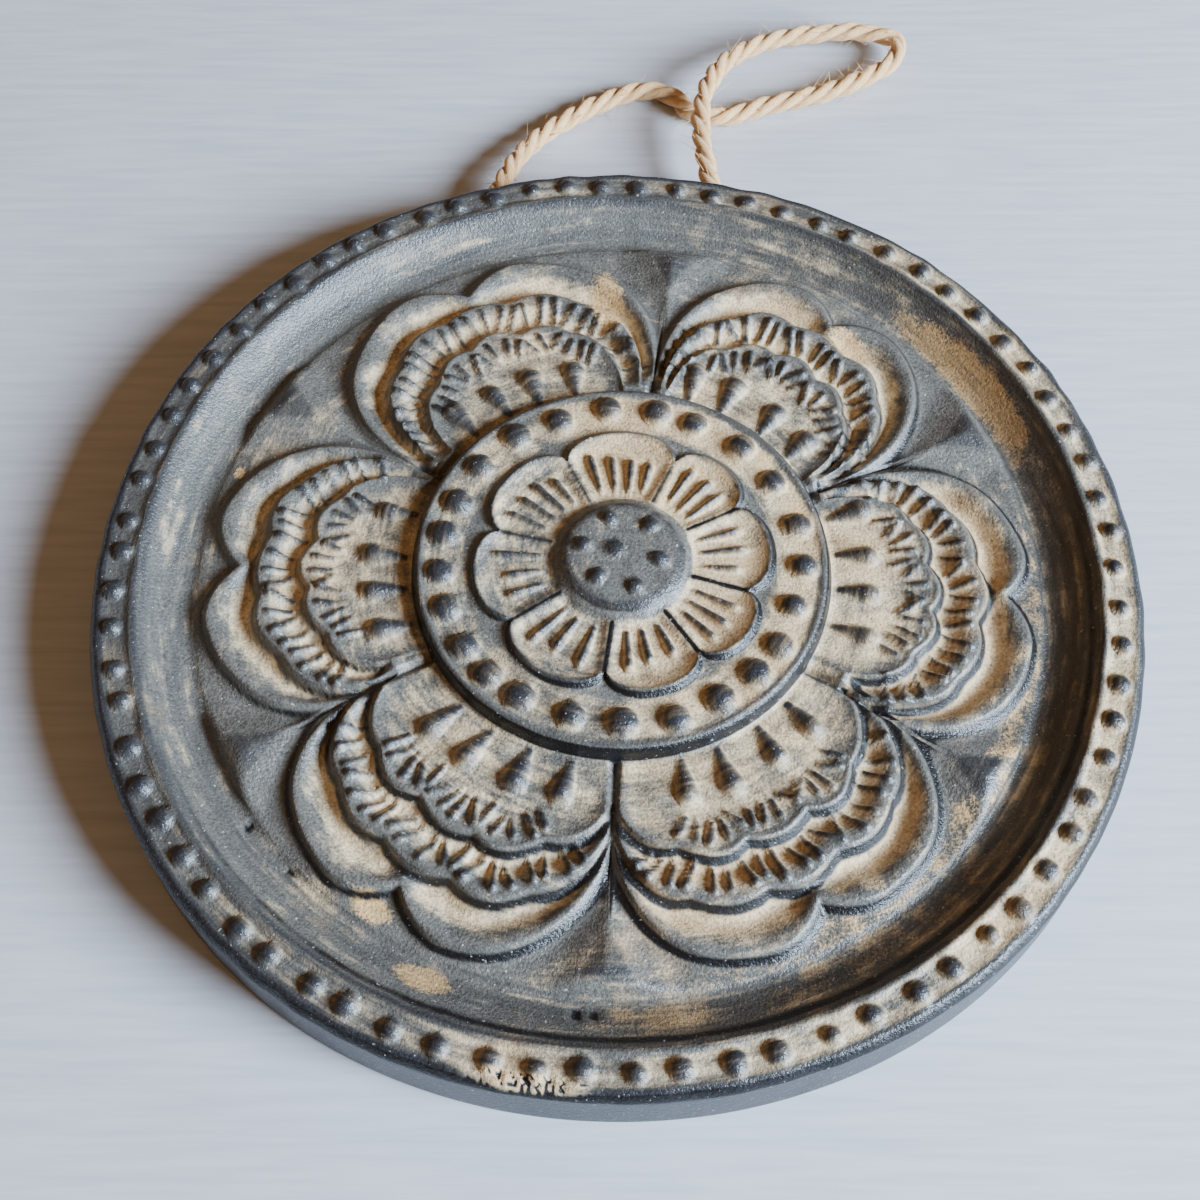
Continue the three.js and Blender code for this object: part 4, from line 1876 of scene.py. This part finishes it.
    def _add_hairs(self, rope: bmesh.types.BMesh, route: Route) -> None:
        """Adds the loose hairs: thin tapered tubes that leave the twine at a slant and curl.

        Args:
            rope: The mesh that the hairs go in.
            route: Route of the twine's middle.
        """
        size = self.hair
        draw = np.random.default_rng(self.seed)
        for _ in range(size.count):
            index = int(draw.integers(size.clear, len(route.line) - size.clear))
            ahead = route.ahead[index]
            out = route.out(index, draw.uniform(0.0, 2.0 * math.pi))
            slant = size.slant_reach * draw.choice([-1.0, 1.0]) * draw.uniform(*size.slants) * ahead
            bend = draw.uniform(-size.bend, size.bend, 3)
            reach = draw.uniform(*size.reaches)
            thick = draw.uniform(*size.thicknesses)
            grid = bmesh.ops.create_grid(rope, x_segments=4, y_segments=3, size=1.0)
            for vertex in grid["verts"]:
                along = (vertex.co.x + 1.0) / 2.0
                around = math.pi * (vertex.co.y + 1.0)
                place = route.line[index] + (size.root + reach * along) * out
                place += along * slant + along**2 * bend
                ring = math.cos(around) * ahead + math.sin(around) * np.cross(out, ahead)
                place += thick * (1.0 - size.taper * along) * ring
                place[2] = max(place[2], size.lowest)
                vertex.co = Vector(place) * MM


@dataclass(frozen=True)
class Lamp:
    """A soft round lamp that points at the plaque: place in metres, width, watts and colour."""

    name: str
    place: Place
    width: float
    power: float
    colour: Colour

    def light(self) -> None:
        """Adds the lamp to the scene."""
        lamp = bpy.data.lights.new(self.name, "AREA")
        lamp.shape = "DISK"
        lamp.size = self.width
        lamp.energy = self.power
        lamp.color = self.colour
        light = bpy.data.objects.new(self.name, lamp)
        light.location = self.place
        light.rotation_euler = (-Vector(self.place)).to_track_quat("-Z", "Y").to_euler()
        bpy.context.scene.collection.objects.link(light)


@dataclass
class Studio:
    """The table, the light and the camera."""

    table_half: float = 1.2
    table_gap: float = 0.05
    camera_place: Place = (-1.992, -87.495, 160.770)
    camera_elevation: float = 61.54
    focal_pixels: float = 1514.43
    image_pixels: float = 1200.0
    sensor: float = 36.0
    lamps: tuple[Lamp, ...] = (
        Lamp("window", (0.66, -0.3, 0.36), 0.4, 40.0, (0.65, 0.81, 1.0)),
        Lamp("room", (-0.5, 0.35, 0.75), 0.9, 0.5, (1.0, 0.8, 0.6)),
    )
    walls: Colour = (1.0, 0.57, 0.25)
    wall_glow: float = 0.22

    def set_up(self, table_finish: bpy.types.Material) -> None:
        """Makes the camera, the table and the lights.

        Args:
            table_finish: Material of the table.
        """
        self._add_camera()
        self._add_table(table_finish)
        for lamp in self.lamps:
            lamp.light()
        world = bpy.data.worlds.new("room")
        world.use_nodes = True
        background = world.node_tree.nodes["Background"]
        background.inputs["Color"].default_value = (*self.walls, 1.0)
        background.inputs["Strength"].default_value = self.wall_glow
        bpy.context.scene.world = world

    def _add_camera(self) -> None:
        """Puts the camera where the photo was taken from."""
        lens = bpy.data.cameras.new("camera")
        lens.sensor_width = self.sensor
        lens.lens = self.sensor * self.focal_pixels / self.image_pixels
        lens.clip_start = 0.01
        lens.clip_end = 20.0
        camera = bpy.data.objects.new("camera", lens)
        camera.location = Vector(self.camera_place) * MM
        camera.rotation_euler = (math.radians(90.0 - self.camera_elevation), 0.0, 0.0)
        bpy.context.scene.collection.objects.link(camera)
        bpy.context.scene.camera = camera

    def _add_table(self, finish: bpy.types.Material) -> None:
        """Lays the table just under the plaque's back.

        Args:
            finish: Its material.
        """
        top = bmesh.new()
        bmesh.ops.create_grid(top, x_segments=2, y_segments=2, size=self.table_half)
        bmesh.ops.translate(top, verts=top.verts[:], vec=(0.0, 0.0, -self.table_gap * MM))
        make_object(top, "table", finish)


def main() -> None:
    """Builds the camera, the table and the lights, then the twine and the plaque."""
    logging.basicConfig(level=logging.INFO, format="%(name)s: %(message)s")
    specks = make_speckle_group()
    Studio().set_up(TableFinish().make(specks))
    TwineLoop().build(JuteFinish().make(specks))
    plaque = CarvedPlaque().build(CastStoneFinish().make(specks))
    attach(plaque, "root")
    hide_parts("plaque")


if __name__ == "__main__":
    main()
